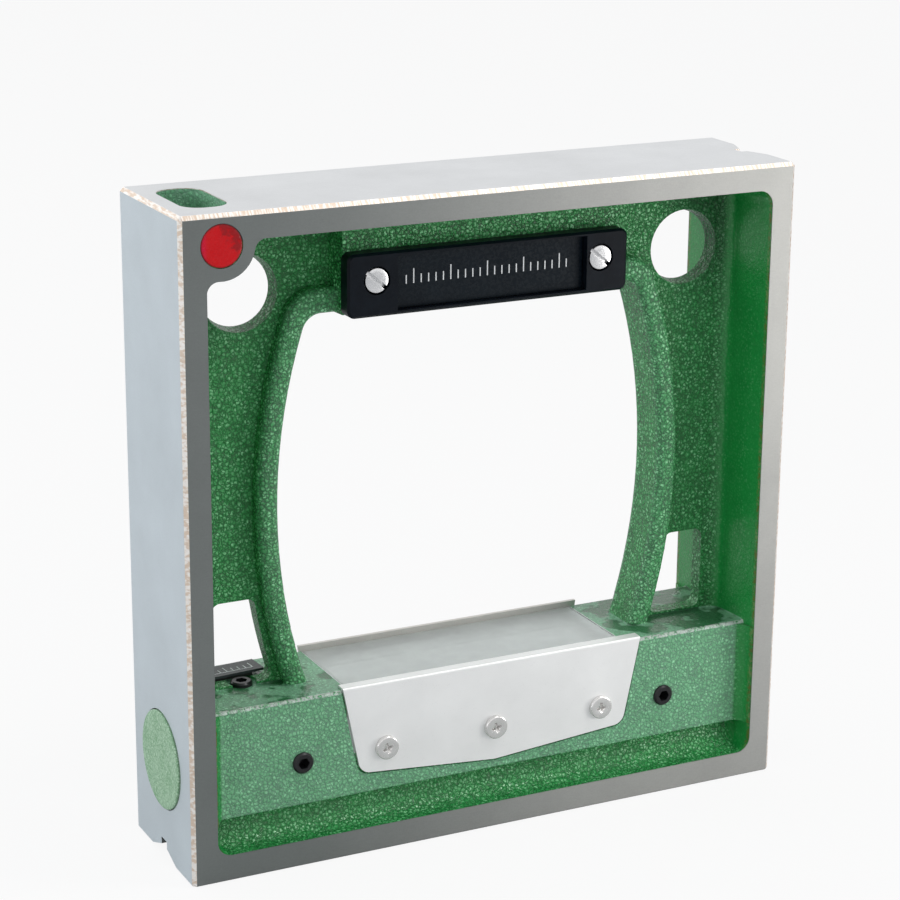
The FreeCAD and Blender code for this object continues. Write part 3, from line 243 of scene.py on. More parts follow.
def hammer_effect() -> bpy.types.NodeTree:
    """Return hammered enamel: pale spots of uneven brightness, which are painted glints on the domed cells,
    parted by thin dark lines.
    """
    # The Light input is the colour of the painted glints.
    effect = Effect(
        "hammer_enamel",
        {"Place": VECTOR, "Scale": NUMBER, "Base": COLOUR, "Light": COLOUR, "Dark": COLOUR},
        {"Colour": COLOUR, "Height": NUMBER},
    )

    def fill(graph: Graph, given: dict[str, Socket], out: dict[str, Socket]) -> None:
        """Lay the cells."""
        swirl = graph.node("ShaderNodeTexNoise")
        graph.feed(swirl.inputs["Vector"], given["Place"])
        swirl.inputs["Scale"].default_value = 1.3
        swirl.inputs["Detail"].default_value = 3.0
        shift = graph.vector("SUBTRACT", swirl.outputs["Color"], (0.5, 0.5, 0.5))
        pushed = graph.node("ShaderNodeVectorMath", operation="MULTIPLY_ADD")
        graph.feed(pushed.inputs[0], shift)
        pushed.inputs[1].default_value = (1.5, 1.5, 1.5)
        graph.feed(pushed.inputs[2], given["Place"])
        where = pushed.outputs[0]
        line_distance = graph.cells(where, given["Scale"], "DISTANCE_TO_EDGE")
        spot = graph.node("ShaderNodeTexVoronoi")
        graph.feed(spot.inputs["Vector"], where)
        graph.feed(spot.inputs["Scale"], given["Scale"])
        centre_distance = spot.outputs["Distance"]
        chance = graph.split(spot.outputs["Color"])[0]
        patch = graph.noise(given["Place"], 0.16, 3.0, 0.6)
        width = graph.ramp(patch, 0.3, 0.7, 0.10, 0.24)
        line = graph.ramp(graph.math("DIVIDE", line_distance, width), 0.1, 1.0, 1.0, 0.0)
        flake = graph.noise(given["Place"], 4.2, 2.0, 0.7)
        # Painted glints: a highlight painted on the crown of each cell, brighter on some cells than on
        # others.
        crown = graph.ramp(centre_distance, 0.08, 0.52, 1.0, 0.0)
        bright = graph.ramp(chance, 0.1, 0.95, 0.2, 1.0)
        lit = graph.math("MULTIPLY", crown, bright)
        glow = graph.math("MULTIPLY", lit, graph.ramp(flake, 0.3, 0.6, 0.35, 1.0))
        body = graph.mix(glow, given["Base"], given["Light"])
        veiled = graph.math("MULTIPLY", line, graph.ramp(flake, 0.2, 0.55, 0.45, 0.95))
        graph.feed(out["Colour"], graph.mix(veiled, body, given["Dark"]))
        dome = graph.math("SUBTRACT", 1.0, graph.math("MULTIPLY", centre_distance, centre_distance))
        swell = graph.math("MULTIPLY", graph.noise(given["Place"], 0.35, 2.0, 0.5), 1.2)
        sunk = graph.math("SUBTRACT", swell, graph.math("MULTIPLY", line, 0.4))
        graph.feed(out["Height"], graph.math("ADD", dome, sunk))

    return effect.tree(fill)


def ground_effect() -> bpy.types.NodeTree:
    """Return ground metal: fine grain, short scratches along X and slow cloudiness."""
    effect = Effect(
        "ground_metal",
        {"Place": VECTOR, "Stretch": VECTOR, "Base": COLOUR, "Contrast": NUMBER},
        {"Colour": COLOUR, "Height": NUMBER, "Grain": NUMBER},
    )

    def fill(graph: Graph, given: dict[str, Socket], out: dict[str, Socket]) -> None:
        """Lay the grain."""
        fine = graph.noise(given["Place"], 2.6, 3.0, 0.75)
        drawn = graph.vector("MULTIPLY", given["Place"], given["Stretch"])
        scratch = graph.noise(drawn, 3.0, 4.0, 0.7)
        cloud = graph.noise(given["Place"], 0.045, 3.0, 0.55)
        grain = graph.math("ADD", graph.math("MULTIPLY", fine, 0.6), graph.math("MULTIPLY", scratch, 0.4))
        swing = graph.math("MULTIPLY", graph.math("SUBTRACT", grain, 0.5), given["Contrast"])
        drift = graph.math("MULTIPLY", graph.math("SUBTRACT", cloud, 0.5), 0.22)
        level = graph.math("ADD", graph.math("ADD", swing, drift), 1.0)
        lit = graph.node("ShaderNodeVectorMath", operation="SCALE")
        graph.feed(lit.inputs[0], given["Base"])
        graph.feed(lit.inputs["Scale"], level)
        graph.feed(out["Colour"], lit.outputs[0])
        graph.feed(out["Height"], grain)
        graph.feed(out["Grain"], grain)

    return effect.tree(fill)


def speckle_effect() -> bpy.types.NodeTree:
    """Return sparse fine specks with soft smudges, for dust and handling marks."""
    effect = Effect(
        "specks_and_smudges",
        {"Place": VECTOR, "Scale": NUMBER, "Amount": NUMBER},
        {"Speck": NUMBER, "Smudge": NUMBER},
    )

    def fill(graph: Graph, given: dict[str, Socket], out: dict[str, Socket]) -> None:
        """Lay specks and smudges."""
        dots = graph.cells(given["Place"], given["Scale"])
        chance = graph.noise(given["Place"], graph.math("MULTIPLY", given["Scale"], 0.31), 2.0, 0.6)
        dot = graph.ramp(dots, 0.12, 0.3, 1.0, 0.0)
        kept = graph.ramp(chance, 0.5, 0.66)
        amount = graph.math("MULTIPLY", graph.math("MULTIPLY", dot, kept), given["Amount"])
        graph.feed(out["Speck"], amount)
        graph.feed(out["Smudge"], graph.ramp(graph.noise(given["Place"], 0.13, 4.0, 0.62), 0.35, 0.75))

    return effect.tree(fill)


def casting_zones_effect() -> bpy.types.NodeTree:
    """Return the masks of the casting: where it is painted, ground, chamfered, flat or deep, and the zones
    that get painted light and shade.
    """
    names = (
        "Paint", "Chamfer", "Ticks", "Top", "Side", "Front", "Slot", "Seat", "Rim", "Web", "Upper", "Wall",
        "Block", "Sill", "Gloss", "EdgeHighlight", "Trough", "Bead",
    )
    effect = Effect("casting_zones", {"Place": VECTOR}, {name: NUMBER for name in names})

    def fill(graph: Graph, given: dict[str, Socket], out: dict[str, Socket]) -> None:
        """Lay the masks, from the sizes of the CAD body in millimetres."""
        x, y, z = graph.split(given["Place"])
        x = graph.math("SUBTRACT", x, ORIGIN_X)
        across = graph.math("ABSOLUTE", x)
        depth = graph.math("ABSOLUTE", y)

        def both(*masks: Value) -> Socket:
            """Return the place that all masks share."""
            shared = masks[0]
            for mask in masks[1:]:
                shared = graph.math("MULTIPLY", shared, mask)
            return shared

        patchy = graph.noise(given["Place"], 0.8, 3.0, 0.7)
        ragged = graph.math("MULTIPLY", graph.math("SUBTRACT", patchy, 0.5), 0.3)
        edge_depth = graph.math("ADD", depth, ragged)
        recess = both(
            graph.ramp(across, 92.15, 92.2, 1.0, 0.0),
            graph.band(z, 7.85, 192.15, 0.03),
            graph.ramp(edge_depth, 23.72, 23.78, 1.0, 0.0),
        )
        slot = both(
            graph.band(x, -94.15, -79.85, 0.02),
            graph.ramp(depth, 14.5, 14.55, 1.0, 0.0),
            graph.band(z, 187.0, 199.75, 0.05),
        )
        # Seat: the vial seat under the pane, lightened white in the enamel as painted light.
        seat = both(
            graph.ramp(across, 47.4, 47.5, 1.0, 0.0),
            graph.ramp(depth, 17.3, 17.4, 1.0, 0.0),
            graph.band(z, 30.0, 51.3, 0.05),
        )
        paint = graph.math("MAXIMUM", recess, slot)
        graph.feed(out["Paint"], paint)
        graph.feed(out["Slot"], slot)
        graph.feed(out["Seat"], seat)
        bare = graph.math("SUBTRACT", 1.0, paint)
        crest = graph.band(z, 198.83, 199.97, 0.01)
        upright = both(graph.band(across, 98.83, 99.97, 0.01), graph.ramp(depth, 22.8, 22.9))
        graph.feed(out["Chamfer"], both(graph.math("MAXIMUM", crest, upright), bare))
        along = graph.vector("MULTIPLY", given["Place"], (1.5, 0.25, 0.03))
        down = graph.vector("MULTIPLY", given["Place"], (0.6, 0.25, 0.9))
        comb = graph.blend(crest, graph.noise(down, 1.0, 2.0, 0.6), graph.noise(along, 1.0, 1.0, 0.5))
        graph.feed(out["Ticks"], graph.ramp(comb, 0.4, 0.6))
        # Top, Side and Front carry the ground iron's painted light: lighter copies of the iron by face, and a
        # front that lightens from left to right.
        graph.feed(out["Top"], graph.ramp(z, 199.9, 199.97))
        graph.feed(out["Side"], graph.ramp(across, 99.9, 99.97))
        graph.feed(out["Front"], both(graph.ramp(depth, 23.7, 23.8), graph.ramp(x, -90.0, 70.0)))
        near = graph.math("MAXIMUM", graph.ramp(across, 88.5, 91.8), graph.ramp(z, 188.5, 191.8))
        graph.feed(out["Rim"], both(graph.ramp(edge_depth, 21.6, 23.2), near, recess))
        web = both(graph.ramp(depth, 2.8, 6.0, 1.0, 0.0), recess)
        graph.feed(out["Web"], web)
        inner = graph.ramp(across, 84.0, 62.0, 1.0, 0.0)
        graph.feed(out["Upper"], both(web, graph.ramp(z, 148.0, 172.0), inner))
        high = graph.ramp(z, 187.5, 190.5)
        graph.feed(out["Wall"], both(graph.math("MAXIMUM", graph.ramp(across, 87.5, 90.0), high), recess))
        # The block face and the block top are turned paler in the enamel, as painted light.
        block_z = graph.band(z, 17.0, 50.6, 0.4)
        graph.feed(out["Block"], both(graph.band(depth, 17.4, 18.6, 0.3), block_z, recess))
        sill = both(graph.band(z, 50.4, 51.5, 0.15), graph.ramp(depth, 17.2, 17.6, 1.0, 0.0), recess)
        graph.feed(out["Sill"], sill)
        more_right = graph.ramp(x, 40.0, 75.0, 0.0, 0.16)
        pools = graph.math("ADD", graph.noise(given["Place"], 0.14, 2.0, 0.5), more_right)
        # Gloss: pools of smoother enamel on the block top, also painted darker as a dark reflection.
        graph.feed(out["Gloss"], both(sill, graph.ramp(pools, 0.52, 0.62)))
        # The block's top front edge, which gets a white painted highlight in the enamel.
        edge = both(graph.band(z, 50.05, 51.2, 0.12), graph.band(depth, 17.1, 18.2, 0.1), recess)
        graph.feed(out["EdgeHighlight"], both(edge, graph.ramp(patchy, 0.35, 0.6)))
        graph.feed(out["Trough"], both(graph.ramp(z, 14.6, 16.4, 1.0, 0.0), recess))
        ring = both(graph.band(depth, 5.2, 8.6, 0.8), graph.band(z, 51.5, 172.0, 0.6), recess)
        graph.feed(out["Bead"], both(ring, graph.ramp(across, 80.0, 82.0, 1.0, 0.0)))

    return effect.tree(fill)


# ---------------------------------------------------------------- finishes
@dataclass(frozen=True)
class Finish:
    """Base of every finish: builds its material once, by name."""

    name: str

    def material(self) -> bpy.types.Material:
        """Return the finished material."""
        made = bpy.data.materials.get("finish_" + self.name)
        if made is None:
            made = bpy.data.materials.new("finish_" + self.name)
            made.use_nodes = True
            graph = Graph(made.node_tree)
            shader = graph.node("ShaderNodeBsdfPrincipled")
            output = graph.node("ShaderNodeOutputMaterial")
            graph.feed(output.inputs["Surface"], shader.outputs[0])
            self.paint(graph, shader)
        return made

    def paint(self, graph: Graph, shader: bpy.types.Node) -> None:
        """Lay the nodes of this finish.

        Args:
            graph: Graph of the material.
            shader: Its Principled shader.
        """
        raise NotImplementedError

    @staticmethod
    def relief(graph: Graph, shader: bpy.types.Node, height: Value, depth: float) -> None:
        """Raise the surface by height.

        Args:
            graph: Graph of the material.
            shader: Its Principled shader.
            height: Height pattern from 0 to 1.
            depth: Depth of the pattern, in metres.
        """
        bump = graph.node("ShaderNodeBump")
        bump.inputs["Strength"].default_value = 1.0
        bump.inputs["Distance"].default_value = depth
        graph.feed(bump.inputs["Height"], height)
        graph.feed(shader.inputs["Normal"], bump.outputs["Normal"])


@dataclass(frozen=True)
class CastingFinish(Finish):
    """Green hammered enamel in the recesses, ground iron on the outside, with light and shade painted into
    both.
    """

    base: Sequence[float] = (0.040, 0.33, 0.085, 1.0)
    # Colour of the painted glints on the hammered cells.
    light: Sequence[float] = (0.40, 0.92, 0.50, 1.0)
    dark: Sequence[float] = (0.004, 0.070, 0.016, 1.0)
    deep: Sequence[float] = (0.008, 0.26, 0.045, 1.0)
    shade: Sequence[float] = (0.003, 0.055, 0.014, 1.0)
    pale: Sequence[float] = (0.36, 0.66, 0.48, 1.0)
    pool: Sequence[float] = (0.006, 0.10, 0.025, 1.0)
    white: Sequence[float] = (0.80, 0.82, 0.81, 1.0)
    rust: Sequence[float] = (0.15, 0.13, 0.03, 1.0)
    ochre: Sequence[float] = (0.30, 0.26, 0.12, 1.0)
    # Ground iron with painted light: the first colour is the darker front at the left; the lighter copies
    # below are painted light for the front's right, the top and the bluish sides.
    iron: Sequence[float] = (0.17, 0.185, 0.18, 1.0)
    iron_painted_light_right: Sequence[float] = (0.38, 0.38, 0.365, 1.0)
    iron_painted_light_top: Sequence[float] = (0.67, 0.68, 0.69, 1.0)
    iron_painted_light_side: Sequence[float] = (0.52, 0.57, 0.60, 1.0)
    chamfer: Sequence[float] = (0.78, 0.74, 0.70, 1.0)
    comb: Sequence[float] = (0.62, 0.50, 0.40, 1.0)
    cell_scale: float = 0.86

    def enamel(self, graph: Graph, place: Socket, zone: Zones, hammer: Socket) -> Socket:
        """Return the enamel's colour, varied over the recesses, with light and shade painted in by zone.

        Args:
            graph: Graph of the material.
            place: Place on the object, in millimetres.
            zone: Masks of the casting.
            hammer: Colour of the hammered enamel.

        Returns:
            The colour.
        """
        marks = graph.group(speckle_effect(), Place=place, Scale=0.9, Amount=0.8).outputs
        blotch = graph.noise(place, 0.5, 4.0, 0.7)
        colour = hammer
        for mask, share, toward in (
            ("Web", 0.22, self.base),
            # Painted shade: the upper web near the side walls is turned dark.
            ("Upper", 0.62, self.shade),
            # The inner walls turn deeper green: partly painted shade, partly their smoother enamel.
            ("Wall", 0.86, self.deep),
            # Painted light: the block face and the bead are turned paler where light falls on them.
            ("Block", 0.38, self.pale),
            ("Bead", 0.10, self.pale),
            # Painted shade: the trough under the block is turned deeper green.
            ("Trough", 0.35, self.deep),
            # Painted highlight: the block top is turned paler.
            ("Sill", 0.55, self.pale),
            # The glossy pools are smoother enamel; their darker colour is a painted dark reflection.
            ("Gloss", 0.85, self.pool),
            # Painted highlight: the block's top front edge is turned white.
            ("EdgeHighlight", 0.75, self.white),
            ("Slot", 0.55, self.pale),
            # The vial seat is painted white, a painted brightening that stands in for light through the
            # glass.
            ("Seat", 1.0, self.white),
        ):
            colour = graph.mix(graph.math("MULTIPLY", zone[mask], share), colour, toward)
        stain = graph.math("MULTIPLY", zone["Rim"], graph.ramp(blotch, 0.46, 0.60, 0.0, 0.85))
        colour = graph.mix(stain, colour, self.rust)
        line = graph.math("MULTIPLY", zone["Rim"], graph.ramp(blotch, 0.40, 0.48, 0.5, 0.0))
        colour = graph.mix(line, colour, self.ochre)
        return graph.mix(graph.math("MULTIPLY", marks["Smudge"], 0.12), colour, self.dark)

    def iron_colour(self, graph: Graph, zone: Zones) -> Socket:
        """Return the colour of the ground outside, by face, with light and shade painted in: darker at the
        front's left, lighter towards its right, lightest on top and bluish on the sides.
        """
        bare = graph.mix(zone["Front"], self.iron, self.iron_painted_light_right)
        bare = graph.mix(zone["Top"], bare, self.iron_painted_light_top)
        bare = graph.mix(zone["Side"], bare, self.iron_painted_light_side)
        edge = graph.mix(zone["Ticks"], self.chamfer, self.comb)
        return graph.mix(zone["Chamfer"], bare, edge)

    def paint(self, graph: Graph, shader: bpy.types.Node) -> None:
        """Lay enamel and iron, parted by the casting's zones."""
        place = graph.millimetres()
        zone = graph.group(casting_zones_effect(), Place=place).outputs
        hammer = graph.group(
            hammer_effect(),
            Place=place,
            Scale=self.cell_scale,
            Base=self.base,
            Light=self.light,
            Dark=self.dark,
        ).outputs
        enamel = self.enamel(graph, place, zone, hammer["Colour"])
        iron = self.iron_colour(graph, zone)
        ground = graph.group(
            ground_effect(), Place=place, Stretch=(0.12, 1.0, 1.0), Base=iron, Contrast=0.55
        ).outputs
        graph.feed(shader.inputs["Base Color"], graph.mix(zone["Paint"], ground["Colour"], enamel))
        metal = graph.math("MULTIPLY", graph.math("SUBTRACT", 1.0, zone["Paint"]), 0.5)
        graph.feed(shader.inputs["Metallic"], metal)
        iron_rough = graph.ramp(ground["Grain"], 0.2, 0.8, 0.38, 0.54)
        smooth = graph.math("MAXIMUM", graph.math("MAXIMUM", zone["Gloss"], zone["Wall"]), zone["Trough"])
        enamel_rough = graph.blend(smooth, 0.26, 0.15)
        graph.feed(shader.inputs["Roughness"], graph.blend(zone["Paint"], iron_rough, enamel_rough))
        calm = graph.math("MAXIMUM", zone["Wall"], zone["Gloss"])
        cell_height = graph.math("MULTIPLY", hammer["Height"], graph.blend(calm, 1.0, 0.25))
        coarse = graph.math("MULTIPLY", zone["Upper"], 5.0)
        wrinkle = graph.math("MULTIPLY", graph.noise(place, 0.45, 3.0, 0.6), coarse)
        iron_height = graph.math("MULTIPLY", ground["Height"], 0.12)
        height = graph.blend(zone["Paint"], iron_height, graph.math("ADD", cell_height, wrinkle))
        self.relief(graph, shader, height, 0.00022)


@dataclass(frozen=True)
class EnamelFinish(Finish):
    """Plain sprayed or brushed enamel in one colour, with slight ripples and faint painted glints on its
    cells.
    """

    base: Sequence[float] = (0.2, 0.4, 0.2, 1.0)
    # Colour of the painted glints on the cells.
    light: Sequence[float] = (0.3, 0.5, 0.3, 1.0)
    dark: Sequence[float] = (0.1, 0.2, 0.1, 1.0)
    cell_scale: float = 1.2
    gloss: float = 0.3
    depth: float = 0.00005

    def paint(self, graph: Graph, shader: bpy.types.Node) -> None:
        """Lay the enamel."""
        place = graph.millimetres()
        hammer = graph.group(
            hammer_effect(),
            Place=place,
            Scale=self.cell_scale,
            Base=self.base,
            Light=self.light,
            Dark=self.dark,
        ).outputs
        marks = graph.group(speckle_effect(), Place=place, Scale=1.6, Amount=0.5).outputs
        colour = graph.mix(graph.math("MULTIPLY", marks["Smudge"], 0.25), hammer["Colour"], self.dark)
        graph.feed(shader.inputs["Base Color"], colour)
        rough = graph.ramp(marks["Smudge"], 0.0, 1.0, self.gloss, self.gloss + 0.12)
        graph.feed(shader.inputs["Roughness"], rough)
        self.relief(graph, shader, hammer["Height"], self.depth)


@dataclass(frozen=True)
class DropFinish(Finish):
    """Thick glossy enamel laid by hand, mottled, with painted shade darkening it towards the upper right, a
    lighter painted highlight at its left side and a darker, ragged rim.
    """

    base: Sequence[float] = (0.62, 0.002, 0.006, 1.0)
    dark: Sequence[float] = (0.24, 0.001, 0.004, 1.0)
    pink: Sequence[float] = (0.75, 0.01, 0.11, 1.0)
    middle: Point = (-87.05, -23.8, 190.9)
    radius: float = 6.2

    def paint(self, graph: Graph, shader: bpy.types.Node) -> None:
        """Lay the mottled drop."""
        place = graph.millimetres()
        offset = graph.vector("SUBTRACT", place, self.middle)
        x, _, z = graph.split(offset)
        cloud = graph.noise(place, 0.55, 4.0, 0.65)
        grain = graph.noise(place, 3.2, 3.0, 0.7)
        # Painted shade: the drop darkens towards the upper right.
        shade_slope = graph.math("ADD", graph.math("MULTIPLY", x, 0.06), graph.math("MULTIPLY", z, 0.05))
        dark = graph.ramp(graph.math("ADD", cloud, shade_slope), 0.62, 0.86, 0.0, 0.75)
        # Painted highlight: a lighter red on the drop's left side.
        left = graph.ramp(graph.math("ADD", x, graph.math("MULTIPLY", grain, 3.0)), -4.4, -2.2, 0.9, 0.0)
        colour = graph.mix(dark, self.base, self.dark)
        colour = graph.mix(graph.math("MULTIPLY", left, graph.ramp(grain, 0.4, 0.6)), colour, self.pink)
        reach = graph.node("ShaderNodeVectorMath", operation="LENGTH")
        graph.feed(reach.inputs[0], offset)
        uneven = graph.math("ADD", reach.outputs["Value"], grain)
        rim = graph.ramp(uneven, self.radius - 0.1, self.radius + 0.5)
        graph.feed(shader.inputs["Base Color"], graph.mix(rim, colour, self.dark))
        graph.feed(shader.inputs["Roughness"], graph.ramp(cloud, 0.3, 0.7, 0.2, 0.36))
        shader.inputs["Specular IOR Level"].default_value = 0.3
        self.relief(graph, shader, cloud, 0.00012)


@dataclass(frozen=True)
class PaneFinish(Finish):
    """Clear cover glass, thin enough to let the lamps in, with faint smears and a whitish veil that is a
    painted reflection.
    """

    tint: Sequence[float] = (0.95, 0.98, 0.97, 1.0)
    cover: float = 0.42
    smear: float = 0.05

    def paint(self, graph: Graph, shader: bpy.types.Node) -> None:
        """Lay the pane."""
        place = graph.millimetres()
        marks = graph.group(speckle_effect(), Place=place, Scale=0.8, Amount=0.3).outputs
        shader.inputs["Base Color"].default_value = self.tint
        shader.inputs["IOR"].default_value = 1.5
        shader.inputs["Roughness"].default_value = 0.03
        # The cover share makes a whitish veil over the glass: a painted reflection that also lightens what
        # lies under the pane.
        veil = graph.math("MULTIPLY", marks["Smudge"], self.smear)
        graph.feed(shader.inputs["Alpha"], graph.math("ADD", veil, self.cover))


@dataclass(frozen=True)
class MetalFinish(Finish):
    """Ground, plated or oxide-blackened metal."""

    base: Sequence[float] = (0.6, 0.6, 0.6, 1.0)
    dark: Sequence[float] = (0.3, 0.3, 0.3, 1.0)
    metallic: float = 0.9
    low_rough: float = 0.2
    high_rough: float = 0.35
    contrast: float = 0.3
    stretch: Sequence[float] = (0.15, 1.0, 1.0)
    depth: float = 0.00001
    specks: float = 0.5

    def paint(self, graph: Graph, shader: bpy.types.Node) -> None:
        """Lay the metal."""
        place = graph.millimetres()
        ground = graph.group(
            ground_effect(), Place=place, Stretch=self.stretch, Base=self.base, Contrast=self.contrast
        ).outputs
        marks = graph.group(speckle_effect(), Place=place, Scale=1.8, Amount=self.specks).outputs
        graph.feed(shader.inputs["Base Color"], graph.mix(marks["Speck"], ground["Colour"], self.dark))
        shader.inputs["Metallic"].default_value = self.metallic
        rough = graph.ramp(ground["Grain"], 0.2, 0.8, self.low_rough, self.high_rough)
        graph.feed(shader.inputs["Roughness"], rough)
        self.relief(graph, shader, ground["Height"], self.depth)


@dataclass(frozen=True)
class PlasticFinish(Finish):
    """Moulded plastic, rubber or lacquer with a fine skin."""

    base: Sequence[float] = (0.02, 0.02, 0.02, 1.0)
    worn: Sequence[float] = (0.06, 0.06, 0.07, 1.0)
    rough: float = 0.4
    texture: float = 2.4
    depth: float = 0.00003
    shine: float = 0.5

    def paint(self, graph: Graph, shader: bpy.types.Node) -> None:
        """Lay the moulded skin."""
        shader.inputs["Specular IOR Level"].default_value = self.shine
        place = graph.millimetres()
        skin = graph.noise(place, self.texture, 3.0, 0.6)
        marks = graph.group(speckle_effect(), Place=place, Scale=1.1, Amount=0.6).outputs
        dusted = graph.math("MAXIMUM", graph.math("MULTIPLY", marks["Smudge"], 0.35), marks["Speck"])
        graph.feed(shader.inputs["Base Color"], graph.mix(dusted, self.base, self.worn))
        rough = graph.ramp(skin, 0.3, 0.7, self.rough - 0.06, self.rough + 0.08)
        graph.feed(shader.inputs["Roughness"], rough)
        self.relief(graph, shader, skin, self.depth)


@dataclass(frozen=True)
class ClearFinish(Finish):
    """Glass, spirit or another clear body."""

    tint: Sequence[float] = (0.97, 1.0, 0.99, 1.0)
    ior: float = 1.5
    rough: float = 0.01
    smear: float = 0.04

    def paint(self, graph: Graph, shader: bpy.types.Node) -> None:
        """Lay the clear body with faint smears."""
        place = graph.millimetres()
        marks = graph.group(speckle_effect(), Place=place, Scale=0.8, Amount=0.3).outputs
        shader.inputs["Base Color"].default_value = self.tint
        shader.inputs["IOR"].default_value = self.ior
        shader.inputs["Transmission Weight"].default_value = 1.0
        rough = graph.ramp(marks["Smudge"], 0.0, 1.0, self.rough, self.rough + self.smear)
        graph.feed(shader.inputs["Roughness"], rough)


CASTING = CastingFinish("casting")
PALE_PAINT = EnamelFinish(
    "pale_plug_enamel",
    base=(0.30, 0.47, 0.31, 1.0),
    light=(0.44, 0.60, 0.44, 1.0),
    dark=(0.12, 0.27, 0.13, 1.0),
    cell_scale=0.9,
    gloss=0.28,
    depth=0.00004,
)
RED_ENAMEL = DropFinish("red_enamel")
BRIGHT_PLATE = MetalFinish(
    "bright_plate",
    base=(0.90, 0.90, 0.895, 1.0),
    dark=(0.62, 0.62, 0.62, 1.0),
    metallic=0.35,
    low_rough=0.32,
    high_rough=0.46,
    contrast=0.07,
    stretch=(0.2, 1.0, 1.0),
    depth=0.000006,
    specks=0.3,
)
BRIGHT_STEEL = MetalFinish(
    "nickel_steel",
    base=(0.74, 0.73, 0.72, 1.0),
    dark=(0.35, 0.34, 0.33, 1.0),
    metallic=0.9,
    low_rough=0.18,
    high_rough=0.3,
    contrast=0.2,
    stretch=(0.6, 1.0, 1.0),
    depth=0.000008,
    specks=0.4,
)
ZINC_STEEL = MetalFinish(
    "zinc_steel",
    base=(0.78, 0.78, 0.79, 1.0),
    dark=(0.36, 0.36, 0.38, 1.0),
    metallic=0.85,
    low_rough=0.2,
    high_rough=0.34,
    contrast=0.25,
    stretch=(0.5, 1.0, 1.0),
    depth=0.00001,
    specks=0.4,
)
BLACK_STEEL = MetalFinish(
    "black_oxide_steel",
    base=(0.022, 0.022, 0.024, 1.0),
    dark=(0.07, 0.065, 0.06, 1.0),
    metallic=0.55,
    low_rough=0.24,
    high_rough=0.4,
    contrast=0.5,
    stretch=(0.6, 1.0, 1.0),
    depth=0.00001,
    specks=0.4,
)
CARRIER_METAL = MetalFinish(
    "carrier_aluminium",
    base=(0.62, 0.63, 0.64, 1.0),
    dark=(0.4, 0.4, 0.41, 1.0),
    metallic=0.85,
    low_rough=0.3,
    high_rough=0.42,
    contrast=0.3,
    stretch=(0.1, 1.0, 1.0),
    depth=0.00001,
    specks=0.4,
)
SPRING_METAL = MetalFinish(
    "spring_steel",
    base=(0.30, 0.30, 0.32, 1.0),
    dark=(0.12, 0.11, 0.12, 1.0),
    metallic=0.95,
    low_rough=0.22,
    high_rough=0.34,
    contrast=0.3,
    stretch=(0.1, 1.0, 1.0),
    depth=0.000006,
    specks=0.3,
)
REAR_PLATE = MetalFinish(
    "rear_plate_metal",
    base=(0.62, 0.60, 0.57, 1.0),
    dark=(0.4, 0.38, 0.36, 1.0),
    metallic=0.7,
    low_rough=0.3,
    high_rough=0.42,
    contrast=0.25,
    stretch=(0.2, 1.0, 1.0),
    depth=0.000008,
    specks=0.4,
)
GRIP_PLASTIC = PlasticFinish(
    "grip_plastic",
    base=(0.0012, 0.0030, 0.0065, 1.0),
    worn=(0.008, 0.014, 0.022, 1.0),
    rough=0.34,
    texture=2.2,
    depth=0.00003,
    shine=0.14,
)
NAME_PLASTIC = PlasticFinish(
    "name_plate_lacquer",
    base=(0.0022, 0.0058, 0.010, 1.0),
    worn=(0.009, 0.016, 0.022, 1.0),
    rough=0.26,
    texture=0.9,
    depth=0.00001,
    shine=0.2,
)
INDEX_SLATE = PlasticFinish(
    "index_slate",
    base=(0.035, 0.045, 0.048, 1.0),
    worn=(0.10, 0.12, 0.12, 1.0),
    rough=0.42,
    texture=3.0,
    depth=0.00002,
)
INDEX_RUBBER = PlasticFinish(
    "index_rubber",
    base=(0.05, 0.055, 0.05, 1.0),
    worn=(0.1, 0.1, 0.1, 1.0),
    rough=0.7,
    texture=3.5,
    depth=0.00005,
)
WHITE_RUBBER = PlasticFinish(
    "white_rubber",
    base=(0.78, 0.79, 0.78, 1.0),
    worn=(0.6, 0.6, 0.58, 1.0),
    rough=0.6,
    texture=2.5,
    depth=0.00004,
)
WHITE_TRAY = PlasticFinish(
    "white_tray",
    base=(0.86, 0.875, 0.87, 1.0),
    worn=(0.74, 0.75, 0.74, 1.0),
    rough=0.4,
    texture=1.8,
    depth=0.00002,
)
WHITE_CEMENT = PlasticFinish(
    "white_cement",
    base=(0.80, 0.79, 0.76, 1.0),
    worn=(0.62, 0.6, 0.56, 1.0),
    rough=0.75,
    texture=4.0,
    depth=0.00008,
)
WHITE_INK = PlasticFinish(
    "white_ink",
    base=(0.86, 0.87, 0.88, 1.0),
    worn=(0.7, 0.71, 0.72, 1.0),
    rough=0.45,
    texture=4.0,
    depth=0.00001,
)
BLACK_INK = PlasticFinish(
    "black_ink",
    base=(0.008, 0.008, 0.009, 1.0),
    worn=(0.03, 0.03, 0.03, 1.0),
    rough=0.4,
    texture=4.0,
    depth=0.00001,
)
WINDOW_GLASS = PaneFinish("window_glass")
VIAL_GLASS = ClearFinish(
    "vial_glass",
    tint=(0.97, 1.0, 0.985, 1.0),
    ior=1.47,
    rough=0.005,
    smear=0.02,
)
SPIRIT = ClearFinish(
    "spirit",
    tint=(0.94, 1.0, 0.90, 1.0),
    ior=1.36,
    rough=0.0,
    smear=0.005,
)
BUBBLE_GAS = ClearFinish(
    "bubble_gas",
    tint=(1.0, 1.0, 1.0, 1.0),
    ior=1.0,
    rough=0.0,
    smear=0.002,
)


# ---------------------------------------------------------------- modelling moves
def deselect() -> None:
    """Deselect every object."""
    for chosen in list(bpy.context.selected_objects):
        chosen.select_set(False)


def take(piece: bpy.types.Object) -> None:
    """Make piece the only selected and the active object."""
    deselect()
    piece.select_set(True)
    bpy.context.view_layer.objects.active = piece


